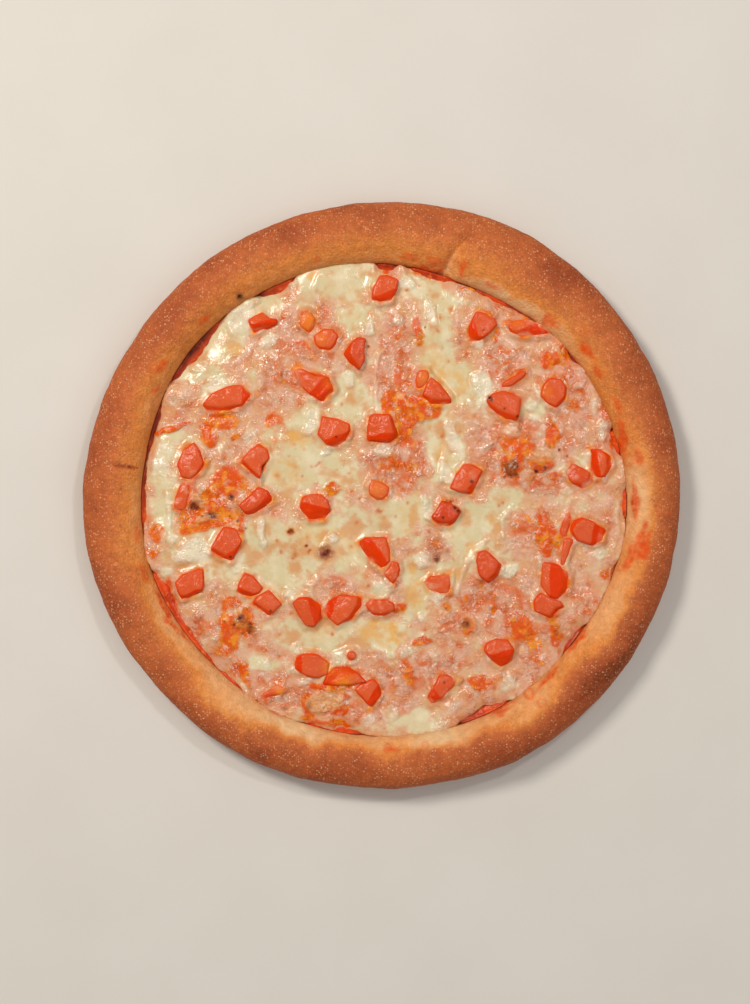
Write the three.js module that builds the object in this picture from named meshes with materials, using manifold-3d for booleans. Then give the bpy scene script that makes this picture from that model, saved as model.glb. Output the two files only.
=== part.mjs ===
// Margherita pizza, whole and uncut: a thick-rimmed crust with a layer of tomato sauce on its floor,
// a sheet of melted mozzarella on the sauce, and diced tomato sunk into the mozzarella.
//
// Millimetres, +Z up. The pizza lies on z = 0 with its middle on the Z axis. A turn is an angle in
// degrees round +Z, counted from +X.

import * as THREE from 'three';
import { mergeVertices } from 'three/addons/utils/BufferGeometryUtils.js';
import Module from 'manifold-3d';

// ---- Driving dimensions ----

const GAP = 0.3; // clearance between pieces that touch
const WALL_GAP = 0.4; // the same where both sides curve
const SIDES = 90; // steps round the pizza

const OUTER_RADIUS = 140.2; // mean, to the outside of the crust
const INNER_RADIUS = 113.4; // mean, to the foot of the rim's inner wall
const FLOOR_HEIGHT = 6; // thickness of the dough under the sauce
const SAUCE_TOP = FLOOR_HEIGHT + GAP + 1.2;
const CHEESE_UNDERSIDE = SAUCE_TOP + GAP;
const CHEESE_TOP = 12; // mean height of the melted cheese

// Waves round an outline: [how many round the pizza, size, turn of one crest]
const OUTER_WAVES = [[1, 0.6, 0], [2, 1.1, 15], [3, 0.7, 67], [6, 0.35, 3]];
const INNER_WAVES = [[1, 2, 270], [2, 1.8, 165], [3, 0.8, 7], [4, 0.5, 14], [7, 0.5, 41]];
const RIM_HEIGHT_WAVES = [[2, 0.7, 120], [3, 0.6, 40], [5, 0.5, 10], [11, 0.3, 4]];

// The rim's section is a fat oval round a centre this high; its outer half is fuller than its inner
const RIM_HEIGHT = 20.7;
const RIM_CENTRE_HEIGHT = 10;
const RIM_CENTRE_SHARE = 0.52; // how much of the rim's width lies outside that centre
const RIM_STEPS = 13; // steps over the section
const OUTSIDE_FULLNESS = 2.4; // 2 is an ellipse, more is squarer
const INSIDE_FULLNESS = 1.8;

// Baked swellings on the rim, at these turns
const SWELLING_TURNS = [8, 30, 50, 92, 130, 178, 205, 258, 295, 322, 340];
const SWELLING = { lift: 1.1, spread: 6.5, over: 75, reach: 50 };

// Angles over the section between which relief fades in on the outside and out on the inside
const RELIEF_IN = [-60, 0];
const RELIEF_OUT = [120, 175];

// The joint where the dough's two ends meet: a crease, with the end on its right a little proud
const JOINT = { turn: 73, spread: 2.4, depth: 3.2, step: 1.2, stepSpread: 9, startsOver: -10, fullOver: 60 };
const JOINT_CLOSENESS = 0.4; // how much closer the steps round the pizza lie at the joint

// Stretches where the cheese stops short of the crust and the sauce shows: turn, spread and width
const CHEESE_CLEARANCE = 0.5;
const SAUCE_LIP = 2.6; // how far the sauce climbs the wall there
const SAUCE_LIP_INSIDE = 0.6; // share of that at the lip's inner edge
const SAUCE_LIP_BATTER = 0.05;
const LIP_CLOSED = 1.1; // clearance under which it doesn't climb at all
const LIP_OPEN = 1.8;
const OPEN_STRETCHES = [
  { turn: 13, spread: 3, width: 2.4 },
  { turn: 36, spread: 4, width: 0.8 },
  { turn: 60, spread: 10, width: 1.2 },
  { turn: 78, spread: 5, width: 2.4 },
  { turn: 89, spread: 2, width: 3 },
  { turn: 117, spread: 4, width: 3.2 },
  { turn: 142, spread: 7, width: 4.8 },
  { turn: 163, spread: 6, width: 1.8 },
  { turn: 180, spread: 9, width: 1.6 },
  { turn: 204, spread: 4, width: 4 },
  { turn: 214, spread: 9, width: 2.6 },
  { turn: 231, spread: 4, width: 1 },
  { turn: 253, spread: 4, width: 0.8 },
  { turn: 262, spread: 4, width: 1.6 },
  { turn: 295, spread: 5, width: 3.8 },
  { turn: 323, spread: 4, width: 1.8 },
  { turn: 342, spread: 3, width: 0.9 },
  { turn: 358, spread: 4, width: 1.8 },
];

// The sheet of cheese: rings between its middle and its edge, and the lie of its surface
const CHEESE_RINGS = [0.975, 0.91, 0.8, 0.66, 0.5, 0.33, 0.16];
const CHEESE_EDGE_DROP = 1.9;
const CHEESE_EDGE_REACH = 5;
const CHEESE_ROLLS = [
  { length: 52, heading: 20, size: 0.35, start: 0.4 },
  { length: 37, heading: 105, size: 0.3, start: 1.9 },
  { length: 29, heading: 62, size: 0.25, start: 3.1 },
  { length: 33, heading: 150, size: 0.25, start: 5.2 },
];

// Diced tomato. at: its middle; outline: its corners from there, anticlockwise from above; shows: turn
// of the side that is tipped up by tilt degrees; proud: height of its middle above the cheese
const TOMATO_DEPTH = 9.5;
const TOMATO_UNDERSIDE = CHEESE_UNDERSIDE + 1.4;
const TOMATO_RINGS = { under: 0.88, middle: 1, top: 0.93 }; // shares of the outline
const TOMATO_SHOULDER = 0.5; // height of the middle ring above the cheese
const TOMATO_CROWN = 0.4; // how far the top's middle stands over its rim
const TOMATO_LEAN = 0.5; // how much of its tilt the top takes
const TOMATO_SIDE_SHARE = 0.6; // the most of its reach that a tipped side takes
const TOMATO_UNEVENNESS = 0.35;
const POCKET_MARGIN = 1.15 * GAP;
const SHARPEST = 0.35; // limits how far a sharp corner moves when its faces are moved out
const TOMATOES = [
  { at: [1.5, 98], shows: 270, tilt: 8, proud: 3, outline: [
    [-2.5, -7], [3, -6], [5.5, -0.5], [6.5, 4], [1.5, 6.5], [-2.5, 6.5], [-5.5, 1], [-6.5, -5.5],
  ] },
  { at: [-56.5, 82], shows: 270, tilt: 26, proud: 3, outline: [
    [-6, -2], [-4.5, -5.5], [2, -3], [7, -0.5], [7, 2], [3.5, 2], [0, 5], [-7, 1.5],
  ] },
  { at: [-35.5, 82.5], shows: 300, tilt: 10, proud: 2, outline: [
    [-3, 2.5], [-3.5, -1.5], [-1.5, -4], [1.5, -5.5], [3.5, -2.5], [4, 1.5], [1, 5], [-2.5, 5],
  ] },
  { at: [-26.5, 74], shows: 290, tilt: 10, proud: 2.5, outline: [
    [-5.5, -1.5], [-3.5, -4.5], [2, -5.5], [4.5, -2.5], [6, 1.5], [3, 5], [-1, 5], [-5.5, 2],
  ] },
  { at: [-12, 68], shows: 200, tilt: 20, proud: 3, outline: [
    [-3.5, -5], [1, -8.5], [4, -4], [3.5, 1.5], [4.5, 6.5], [0, 7], [-3.5, 3.5], [-6.5, -1],
  ] },
  { at: [47.5, 80.5], shows: 240, tilt: 16, proud: 3, outline: [
    [-7, -1.5], [-6, -8], [0, -6.5], [4, -3], [7, 0.5], [6, 3.5], [0, 6.5], [-3, 7],
  ] },
  { at: [67.5, 79.5], shows: 270, tilt: 22, proud: 2, outline: [
    [-6.5, -2], [-2, -4.5], [5.5, -4], [12, -3], [4.5, 4], [0, 4], [-5.5, 3.5], [-9, 2],
  ] },
  { at: [-32.5, 53.5], shows: 320, tilt: 16, proud: 3, outline: [
    [-6.5, -0.5], [-1.5, -6], [4.5, -9.5], [11, -4], [7.5, 2.5], [1, 3.5], [-6, 7], [-9.5, 6],
  ] },
  { at: [-74, 46], shows: 270, tilt: 14, proud: 3, outline: [
    [-9, -5.5], [-3, -6.5], [8, -4], [12.5, 1.5], [7.5, 7], [0.5, 6], [-6.5, 2.5], [-11, -3],
  ] },
  { at: [25.5, 48.5], shows: 265, tilt: 16, proud: 3, outline: [
    [-5, 3.5], [-6.5, -1.5], [-2.5, -5.5], [2.5, -5.5], [7.5, -4.5], [5, 0.5], [2, 4.5], [-2.5, 8],
  ] },
  { at: [18.5, 55], shows: 270, tilt: 5, proud: 2, outline: [
    [-2.5, -1.5], [-2, -4], [0.5, -4.5], [2.5, -2], [4, 1.5], [3, 4.5], [-1, 4.5], [-2.5, 1],
  ] },
  { at: [81.5, 49], shows: 320, tilt: 7, proud: 3, outline: [
    [-3, -5.5], [1, -7.5], [5.5, -3], [6, 2.5], [3, 6.5], [-2, 7], [-5.5, 3.5], [-6.5, -1.5],
  ] },
  { at: [58, 43], shows: 250, tilt: 15, proud: 3, outline: [
    [-6, -2.5], [-0.5, -6], [6, -8], [7.5, -2], [8, 4], [-0.5, 7], [-6, 5.5], [-9, 2],
  ] },
  { at: [-21.5, 30], shows: 310, tilt: 12, proud: 3, outline: [
    [-9, -1], [-4.5, -6], [0.5, -6.5], [5, -4], [7, 0.5], [6.5, 4], [0.5, 6.5], [-7, 8],
  ] },
  { at: [0, 32.5], shows: 340, tilt: 16, proud: 3.5, outline: [
    [4.5, -7.5], [8, -4], [6, 1.5], [4, 6], [-4, 6.5], [-6, 5], [-7, 0], [-7, -6.5],
  ] },
  { at: [-59, 17], shows: 225, tilt: 8, proud: 3, outline: [
    [-3.5, -5.5], [1, -9.5], [2, -3], [6, 1], [4.5, 5.5], [0.5, 7.5], [-4, 4.5], [-8, -1],
  ] },
  { at: [-90, 16], shows: 320, tilt: 8, proud: 2.5, outline: [
    [-4.5, -7.5], [-0.5, -8.5], [4, -5], [6.5, -1], [3.5, 5.5], [1, 9.5], [-4, 6], [-7, -1.5],
  ] },
  { at: [40.5, 8], shows: 315, tilt: 8, proud: 3, outline: [
    [-4.5, -6], [2, -7], [5, -1.5], [7.5, 4], [3, 6.5], [-1.5, 7.5], [-5.5, 2.5], [-8.5, -4.5],
  ] },
  { at: [103, 15.5], shows: 0, tilt: 18, proud: 3, outline: [
    [-3.5, 1], [-4, -4.5], [-1.5, -7], [2.5, -6.5], [6, -1.5], [5.5, 3.5], [0.5, 6.5], [-4.5, 7],
  ] },
  { at: [93, 9], shows: 300, tilt: 20, proud: 2, outline: [
    [-5, -1], [-2.5, -3.5], [2, -5.5], [6, -4], [6.5, 1], [1.5, 4.5], [-3, 6.5], [-6.5, 2],
  ] },
  { at: [-1.5, 2.5], shows: 270, tilt: 8, proud: 2, outline: [
    [-5, 2], [-4.5, -2], [-1, -4.5], [2, -4.5], [4.5, -2], [5, 1.5], [1, 4], [-3.5, 6],
  ] },
  { at: [-59.5, -3], shows: 300, tilt: 16, proud: 3, outline: [
    [-5, -6], [-1.5, -5.5], [5, -2.5], [8.5, 0.5], [5.5, 5.5], [1, 7.5], [-3, 3.5], [-8.5, -1.5],
  ] },
  { at: [-31.5, -4.5], shows: 275, tilt: 24, proud: 3, outline: [
    [-3.5, -7.5], [4.5, -7], [7.5, -3], [6, 2.5], [2.5, 5.5], [-2, 5.5], [-6, 4], [-7.5, -1],
  ] },
  { at: [30, -8.5], shows: 270, tilt: 14, proud: 3, outline: [
    [-3.5, -5.5], [2, -6], [5, -3.5], [7.5, 1.5], [2.5, 5.5], [-1.5, 6.5], [-4.5, 2], [-7, -2],
  ] },
  { at: [-73, -23], shows: 245, tilt: 12, proud: 3, outline: [
    [-3.5, -6], [1.5, -8.5], [4.5, -3.5], [7, 2], [4, 7.5], [-2, 8.5], [-5.5, 3], [-8.5, -3],
  ] },
  { at: [-3, -26], shows: 225, tilt: 16, proud: 3.5, outline: [
    [-6, -0.5], [-2, -5.5], [3, -9], [7, -5], [6.5, 1], [5, 6.5], [-5, 6.5], [-8, 4],
  ] },
  { at: [5, -36], shows: 300, tilt: 6, proud: 2, outline: [
    [-2, 1.5], [-4.5, -0.5], [-2, -3.5], [0.5, -6], [2.5, -2.5], [3.5, 1.5], [2.5, 4.5], [-0.5, 5.5],
  ] },
  { at: [50, -32.5], shows: 320, tilt: 13, proud: 3, outline: [
    [-4, -5.5], [0.5, -9], [5, -5], [6.5, 0], [2, 4.5], [-1.5, 7], [-4.5, 6], [-5.5, 2],
  ] },
  { at: [97, -16.5], shows: 150, tilt: 10, proud: 3, outline: [
    [-7, 4.5], [-8.5, 0.5], [-5, -4.5], [2, -7], [7.5, -5], [9, 0.5], [3, 4.5], [-2.5, 6.5],
  ] },
  { at: [87, -14], shows: 0, tilt: 5, proud: 1.5, outline: [
    [-1.5, 1.5], [-3, -2.5], [-2.5, -5.5], [0.5, -5], [1, -2], [2.5, 1], [3, 4], [1.5, 6.5],
  ] },
  { at: [82, -39.5], shows: 355, tilt: 22, proud: 3.5, outline: [
    [-7, -3], [-3, -8.5], [2.5, -9.5], [6.5, -5], [7, 2.5], [3.5, 6], [-1.5, 8], [-6.5, 8.5],
  ] },
  { at: [79, -51.5], shows: 300, tilt: 10, proud: 2.5, outline: [
    [-7, -3], [1, -6.5], [3.5, -2.5], [7, -1], [5.5, 1.5], [1, 3.5], [-4, 6], [-7.5, 2],
  ] },
  { at: [27, -41.5], shows: 0, tilt: 8, proud: 1.5, outline: [
    [-4.5, -3], [0.5, -5], [5, -4], [6, 0], [5.5, 5], [0.5, 3.5], [-4, 3.5], [-7, 0.5],
  ] },
  { at: [-90.5, -41], shows: 270, tilt: 10, proud: 3, outline: [
    [-6.5, -4.5], [-4.5, -8.5], [5.5, -4.5], [6.5, 0.5], [6, 7], [2, 6], [-3.5, 4], [-7.5, 0],
  ] },
  { at: [-63, -43], shows: 250, tilt: 12, proud: 3, outline: [
    [-3, -4.5], [1, -5], [5, -3], [6.5, -0.5], [2, 5], [-2, 6.5], [-4.5, 2.5], [-6, -2.5],
  ] },
  { at: [-54.5, -51], shows: 225, tilt: 10, proud: 3, outline: [
    [-3, -2.5], [0.5, -6], [3.5, -3.5], [7.5, -0.5], [4, 3.5], [1, 6.5], [-5, 3.5], [-7, 0],
  ] },
  { at: [-35, -54.5], shows: 40, tilt: 13, proud: 3, outline: [
    [-5, -1], [-1, -7], [3, -7.5], [6.5, -3.5], [7, 2.5], [1.5, 7], [-4.5, 6.5], [-7.5, 4],
  ] },
  { at: [-19, -53.5], shows: 340, tilt: 15, proud: 3, outline: [
    [-6.5, -4], [-2, -8], [5, -4.5], [10, 1.5], [9.5, 5.5], [-0.5, 7], [-5.5, 4.5], [-9.5, 0],
  ] },
  { at: [-1, -52.5], shows: 270, tilt: 6, proud: 2.5, outline: [
    [-6, -1], [-3, -4], [2.5, -4], [7, -1.5], [7, 1.5], [3, 3.5], [-4, 3.5], [-7.5, 1.5],
  ] },
  { at: [55, -73.5], shows: 275, tilt: 22, proud: 3.5, outline: [
    [-3.5, -4.5], [1, -7.5], [6.5, -4.5], [7.5, 1], [4.5, 5.5], [-1.5, 6], [-5.5, 4], [-7, 0.5],
  ] },
  { at: [-33.5, -80.5], shows: 180, tilt: 7, proud: 3, outline: [
    [-2.5, -4.5], [3, -6], [8, -4], [8.5, 1.5], [3.5, 5.5], [-4, 6], [-7.5, 4.5], [-8.5, -1.5],
  ] },
  { at: [-18.5, -86], shows: 250, tilt: 8, proud: 3, outline: [
    [-3.5, -4], [4, -3.5], [11.5, -2], [7.5, 2], [2, 5.5], [-4, 5], [-8, 1], [-10, -4],
  ] },
  { at: [-7, -92.5], shows: 240, tilt: 6, proud: 3, outline: [
    [-5, -0.5], [-2.5, -3.5], [1.5, -8], [6.5, -2.5], [6, 3], [3, 6], [-3, 4], [-6, 1],
  ] },
  { at: [28, -90.5], shows: 225, tilt: 10, proud: 2.5, outline: [
    [-4.5, -8], [0.5, -5], [5, 0], [8.5, 3], [3, 6], [-0.5, 6], [-3.5, 0.5], [-6.5, -5],
  ] },
  { at: [-14.5, -75.5], shows: 270, tilt: 5, proud: 2, outline: [
    [-1.5, -1.5], [0, -2.5], [2, -1.5], [2.5, 0], [2, 1.5], [0, 2.5], [-1.5, 1.5], [-2, 0],
  ] },
  { at: [-52.5, -93.5], shows: 270, tilt: 15, proud: 2, outline: [
    [-4.5, -3], [-2.5, -3], [0, -1.5], [5, 0], [7, 2.5], [3.5, 4], [-1.5, 1.5], [-5, -1.5],
  ] },
  { at: [-94.5, -0.5], shows: 0, tilt: 8, proud: 1.5, outline: [
    [-2, 4], [-3.5, 0], [-4, -5.5], [-1, -6.5], [2, -5], [4, 1.5], [4, 6], [-0.5, 6.5],
  ] },
  { at: [87.5, -26], shows: 0, tilt: 10, proud: 1.5, outline: [
    [-2.5, -1], [-3, -7], [-1.5, -7], [0, -3.5], [2, 1.5], [3.5, 5.5], [1, 6.5], [-1.5, 6],
  ] },
  { at: [62.5, 55.5], shows: 270, tilt: 5, proud: 1.5, outline: [
    [-2.5, -4], [2.5, -1], [6, 2.5], [5.5, 4], [2.5, 3], [-1, 0.5], [-5, -2], [-6.5, -4.5],
  ] },
];

const CRUST_FINISH = { color: '#c06a3a', roughness: 0.75, metalness: 0 };
const SAUCE_FINISH = { color: '#a82b05', roughness: 0.35, metalness: 0 };
const CHEESE_FINISH = { color: '#dcb98a', roughness: 0.3, metalness: 0 };
const TOMATO_FINISH = { color: '#d9582f', roughness: 0.3, metalness: 0 };

// ---- Small helpers ----

const wasm = await Module();
wasm.setup();

const radians = THREE.MathUtils.degToRad;
const smooth = THREE.MathUtils.smoothstep;

/** Shortest way round from one turn to another, -180 to 180. */
function turnBetween(from, to) {
  return ((((to - from) % 360) + 540) % 360) - 180;
}

/** A rounded hump, 1 at its middle. */
function hump(distance, spread) {
  return Math.exp(-((distance / spread) ** 2));
}

/** The sum of an outline's waves at a turn. */
function wavesAt(turn, waves) {
  let total = 0;
  for (const [count, size, crest] of waves) {
    total += size * Math.cos(radians(count * (turn - crest)));
  }
  return total;
}

/** The turns that the rings are stepped at, closer together at the joint. */
function ringTurns() {
  const turns = [];
  for (let step = 0; step < SIDES; step += 1) {
    const even = (360 * step) / SIDES;
    const pull = JOINT_CLOSENESS * Math.sin(radians(even - JOINT.turn));
    turns.push(even - THREE.MathUtils.radToDeg(pull));
  }
  return turns;
}

/** Random numbers from -1 to 1, the same ones for the same seed. */
function randomFrom(seed) {
  const modulus = 2 ** 32;
  let state = seed;
  return () => {
    state = (state * 1664525 + 1013904223) % modulus;
    return (2 * state) / modulus - 1;
  };
}

/**
 * A closed body of rings round the Z axis. sectionAt(turn) gives the half section as [radius, height]
 * points, from the edge of the underside out and over to the edge of the top; both are capped flat
 * to the heights given for the axis.
 */
function ringBody(sectionAt, undersideHeight, topHeight) {
  const turns = ringTurns();
  const sections = turns.map(sectionAt);
  const rings = sections[0].length;
  const positions = [];
  for (let ring = 0; ring < rings; ring += 1) {
    for (let side = 0; side < SIDES; side += 1) {
      const [radius, height] = sections[side][ring];
      const angle = radians(turns[side]);
      positions.push(radius * Math.cos(angle), radius * Math.sin(angle), height);
    }
  }
  const underside = positions.length / 3;
  positions.push(0, 0, undersideHeight, 0, 0, topHeight);
  const top = underside + 1;

  const index = [];
  for (let side = 0; side < SIDES; side += 1) {
    const next = (side + 1) % SIDES;
    index.push(underside, next, side);
    for (let ring = 0; ring < rings - 1; ring += 1) {
      const low = ring * SIDES;
      const high = low + SIDES;
      index.push(low + side, low + next, high + side);
      index.push(low + next, high + next, high + side);
    }
    const last = (rings - 1) * SIDES;
    index.push(top, last + side, last + next);
  }
  const geometry = new THREE.BufferGeometry();
  geometry.setAttribute('position', new THREE.Float32BufferAttribute(positions, 3));
  geometry.setIndex(index);
  return geometry;
}

/** A merged three.js geometry as a solid that can be joined and cut. */
function toSolid(geometry) {
  const bare = geometry.clone();
  bare.deleteAttribute('normal');
  bare.deleteAttribute('uv');
  const merged = mergeVertices(bare);
  const vertProperties = new Float32Array(merged.attributes.position.array);
  const triVerts = new Uint32Array(merged.index.array);
  return new wasm.Manifold(new wasm.Mesh({ numProp: 3, vertProperties, triVerts }));
}

/** A solid back as a three.js geometry. */
function toGeometry(solid) {
  const { vertProperties, triVerts } = solid.getMesh();
  const geometry = new THREE.BufferGeometry();
  geometry.setAttribute('position', new THREE.BufferAttribute(new Float32Array(vertProperties), 3));
  geometry.setIndex(new THREE.BufferAttribute(new Uint32Array(triVerts), 1));
  geometry.computeVertexNormals();
  return geometry;
}

/** A named mesh of its own material. */
function node(name, geometry, finish) {
  const mesh = new THREE.Mesh(geometry, new THREE.MeshStandardMaterial(finish));
  mesh.name = name;
  return mesh;
}

// ---- Outlines ----

function outerRadiusAt(turn) {
  return OUTER_RADIUS + wavesAt(turn, OUTER_WAVES);
}

function innerRadiusAt(turn) {
  return INNER_RADIUS + wavesAt(turn, INNER_WAVES);
}

/** How far the cheese's edge stays from the foot of the crust's wall. */
function clearanceAt(turn) {
  let clearance = CHEESE_CLEARANCE;
  for (const stretch of OPEN_STRETCHES) {
    clearance += stretch.width * hump(turnBetween(stretch.turn, turn), stretch.spread);
  }
  return clearance;
}

function cheeseRadiusAt(turn) {
  return innerRadiusAt(turn) - clearanceAt(turn);
}

// ---- Crust ----

/** How far the rim's skin stands out at a turn and an angle over its section. */
function rimReliefAt(turn, over) {
  let relief = 0;
  for (const swellingTurn of SWELLING_TURNS) {
    const round = hump(turnBetween(swellingTurn, turn), SWELLING.spread);
    relief += SWELLING.lift * round * hump(over - SWELLING.over, SWELLING.reach);
  }
  const fromJoint = turnBetween(JOINT.turn, turn);
  const upperSide = smooth(over, JOINT.startsOver, JOINT.fullOver);
  relief -= JOINT.depth * hump(fromJoint, JOINT.spread) * upperSide;
  if (fromJoint < 0) {
    relief += JOINT.step * hump(fromJoint, JOINT.stepSpread) * upperSide;
  }
  return relief;
}

/** A power that keeps the sign, for the rim's fat oval. */
function signedPower(value, power) {
  return Math.sign(value) * Math.abs(value) ** power;
}

/** The crust's half section: out along the underside, over the rim and down the inner wall. */
function crustSectionAt(turn) {
  const inner = innerRadiusAt(turn);
  const width = outerRadiusAt(turn) - inner;
  const outsideWidth = width * RIM_CENTRE_SHARE;
  const insideWidth = width - outsideWidth;
  const centre = inner + insideWidth;
  const crown = RIM_HEIGHT + wavesAt(turn, RIM_HEIGHT_WAVES) - RIM_CENTRE_HEIGHT;
  const points = [];
  for (let step = 0; step < RIM_STEPS; step += 1) {
    const over = -90 + (270 * step) / (RIM_STEPS - 1);
    const outside = over <= 90;
    const power = 2 / (outside ? OUTSIDE_FULLNESS : INSIDE_FULLNESS);
    const across = signedPower(Math.cos(radians(over)), power);
    const up = signedPower(Math.sin(radians(over)), power);
    const relief = rimReliefAt(turn, over) * smooth(over, ...RELIEF_IN) * (1 - smooth(over, ...RELIEF_OUT));
    const radius = centre + across * (outside ? outsideWidth : insideWidth);
    const height = RIM_CENTRE_HEIGHT + up * (over < 0 ? RIM_CENTRE_HEIGHT : crown);
    points.push([
      radius + relief * Math.cos(radians(over)),
      height + relief * Math.sin(radians(over)),
    ]);
  }
  points.push([inner, FLOOR_HEIGHT]);
  return points;
}

function makeCrust() {
  return node('crust', ringBody(crustSectionAt, 0, FLOOR_HEIGHT), CRUST_FINISH);
}

// ---- Sauce ----

/** The sauce's half section: a thin layer that climbs the crust's wall where the cheese stops short. */
function sauceSectionAt(turn) {
  const outside = innerRadiusAt(turn) - WALL_GAP;
  const inside = Math.min(cheeseRadiusAt(turn) + WALL_GAP, outside - GAP);
  const climb = SAUCE_LIP * smooth(clearanceAt(turn), LIP_CLOSED, LIP_OPEN);
  return [
    [outside, FLOOR_HEIGHT + GAP],
    [outside, SAUCE_TOP + climb],
    [inside, SAUCE_TOP + climb * SAUCE_LIP_INSIDE],
    [inside - SAUCE_LIP_BATTER, SAUCE_TOP],
  ];
}

function makeSauce() {
  return node('sauce', ringBody(sauceSectionAt, FLOOR_HEIGHT + GAP, SAUCE_TOP), SAUCE_FINISH);
}

// ---- Cheese ----

/** Height of the melted cheese, away from its edge. */
function cheeseHeightAt(x, y) {
  let height = CHEESE_TOP;
  for (const { length, heading, size, start } of CHEESE_ROLLS) {
    const along = x * Math.cos(radians(heading)) + y * Math.sin(radians(heading));
    height += size * Math.sin((2 * Math.PI * along) / length + start);
  }
  return height;
}

function cheeseSectionAt(turn) {
  const edge = cheeseRadiusAt(turn);
  const points = [[edge, CHEESE_UNDERSIDE]];
  for (const share of [1, ...CHEESE_RINGS]) {
    const radius = edge * share;
    const lie = cheeseHeightAt(radius * Math.cos(radians(turn)), radius * Math.sin(radians(turn)));
    const drop = CHEESE_EDGE_DROP * hump(edge - radius, CHEESE_EDGE_REACH);
    points.push([radius, lie - drop]);
  }
  return points;
}

// ---- Diced tomato ----

// The corners of a square from -1 to 1 in the order of an outline's
const SQUARE = [[1, 0], [1, 1], [0, 1], [-1, 1], [-1, 0], [-1, -1], [0, -1], [1, -1]];

/** Where one vertex of a cube from -1 to 1 goes in a tomato piece, from the piece's middle. */
function placeVertex(vertex, piece, random) {
  const corner = SQUARE.findIndex(([x, y]) => x === vertex.x && y === vertex.y);
  const [x, y] = corner < 0 ? [0, 0] : piece.outline[corner];
  if (vertex.z < 0) {
    const share = TOMATO_RINGS.under;
    return vertex.set(share * x, share * y, piece.proud - TOMATO_DEPTH);
  }
  if (vertex.z === 0) {
    const share = TOMATO_RINGS.middle;
    return vertex.set(share * x, share * y, TOMATO_SHOULDER);
  }
  const east = Math.cos(radians(piece.shows));
  const north = Math.sin(radians(piece.shows));
  const reach = Math.max(...piece.outline.map((point) => point[0] * east + point[1] * north));
  const side = Math.min(TOMATO_DEPTH * Math.sin(radians(piece.tilt)), TOMATO_SIDE_SHARE * reach);
  const share = TOMATO_RINGS.top;
  const along = x * east + y * north;
  const drawnIn = (side * Math.max(along, 0)) / reach;
  const lean = TOMATO_LEAN * Math.tan(radians(piece.tilt)) * (along - drawnIn);
  const crown = corner < 0 ? TOMATO_CROWN : TOMATO_UNEVENNESS * random();
  return vertex.set(share * x - drawnIn * east, share * y - drawnIn * north, piece.proud + lean + crown);
}

/** The space over the cheese that the tomato keeps to, from a height up. */
function toppingSpace(margin, underside) {
  const sectionAt = (turn) => {
    const radius = cheeseRadiusAt(turn) + margin;
    return [[radius, underside], [radius, underside + 3 * TOMATO_DEPTH]];
  };
  return toSolid(ringBody(sectionAt, underside, underside + 3 * TOMATO_DEPTH));
}

/** The placed block of one tomato piece. */
function tomatoBlock(piece, seed) {
  const cube = new THREE.BoxGeometry(2, 2, 2, 2, 2, 2);
  cube.deleteAttribute('normal');
  cube.deleteAttribute('uv');
  const block = mergeVertices(cube);
  const random = randomFrom(seed);
  const vertex = new THREE.Vector3();
  const { position } = block.attributes;
  for (let index = 0; index < position.count; index += 1) {
    placeVertex(vertex.fromBufferAttribute(position, index), piece, random);
    position.setXYZ(index, vertex.x, vertex.y, vertex.z);
  }
  const [x, y] = piece.at;
  block.translate(x, y, cheeseHeightAt(x, y));
  return block;
}

/** For each vertex, the least that its normal has in common with the normal of a face it is in. */
function sharpness(geometry) {
  const { position, normal } = geometry.attributes;
  const corners = geometry.index.array;
  const face = new THREE.Triangle();
  const facing = new THREE.Vector3();
  const outward = new THREE.Vector3();
  const least = new Array(position.count).fill(1);
  for (let start = 0; start < corners.length; start += 3) {
    face.setFromAttributeAndIndices(position, ...corners.slice(start, start + 3));
    face.getNormal(facing);
    for (const corner of corners.slice(start, start + 3)) {
      outward.fromBufferAttribute(normal, corner);
      least[corner] = Math.min(least[corner], facing.dot(outward));
    }
  }
  return least;
}

/** A geometry with every face moved out, by moving its vertices along their normals. */
function setOut(geometry, margin) {
  const wider = geometry.clone();
  wider.computeVertexNormals();
  const least = sharpness(wider);
  const vertex = new THREE.Vector3();
  const outward = new THREE.Vector3();
  const { position, normal } = wider.attributes;
  for (let index = 0; index < position.count; index += 1) {
    vertex.fromBufferAttribute(position, index);
    outward.fromBufferAttribute(normal, index);
    vertex.addScaledVector(outward, margin / Math.max(least[index], SHARPEST));
    position.setXYZ(index, vertex.x, vertex.y, vertex.z);
  }
  return wider;
}

/** How far a piece reaches from its middle. */
function reachOf(piece) {
  return Math.max(...piece.outline.map(([x, y]) => Math.hypot(x, y)));
}

/** Two placed pieces near enough to touch. */
function areNeighbours(one, other) {
  const apart = Math.hypot(one.at[0] - other.at[0], one.at[1] - other.at[1]);
  return apart < reachOf(one) + reachOf(other) + 2 * POCKET_MARGIN;
}

/** The tomato pieces, each cut clear of the earlier ones, and the pockets they lie in. */
function diceTomatoes() {
  const space = toppingSpace(0, TOMATO_UNDERSIDE);
  const pocketSpace = toppingSpace(2 * GAP, TOMATO_UNDERSIDE - GAP);
  const pockets = [];
  const solids = [];
  TOMATOES.forEach((piece, index) => {
    const block = tomatoBlock(piece, index + 1);
    let solid = toSolid(block).intersect(space);
    TOMATOES.slice(0, index).forEach((earlier, order) => {
      if (areNeighbours(piece, earlier)) {
        solid = solid.subtract(pockets[order]);
      }
    });
    pockets.push(toSolid(setOut(block, POCKET_MARGIN)).intersect(pocketSpace));
    solids.push(solid);
  });
  return { pockets, solids };
}

function makeTomatoes(solids) {
  const pieces = new THREE.Group();
  solids.forEach((solid, index) => {
    const [x, y] = TOMATOES[index].at;
    const geometry = toGeometry(solid);
    geometry.translate(-x, -y, -TOMATO_UNDERSIDE);
    const mesh = node(`tomato_${String(index + 1).padStart(2, '0')}`, geometry, TOMATO_FINISH);
    mesh.position.set(x, y, TOMATO_UNDERSIDE);
    pieces.add(mesh);
  });
  return pieces;
}

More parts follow.
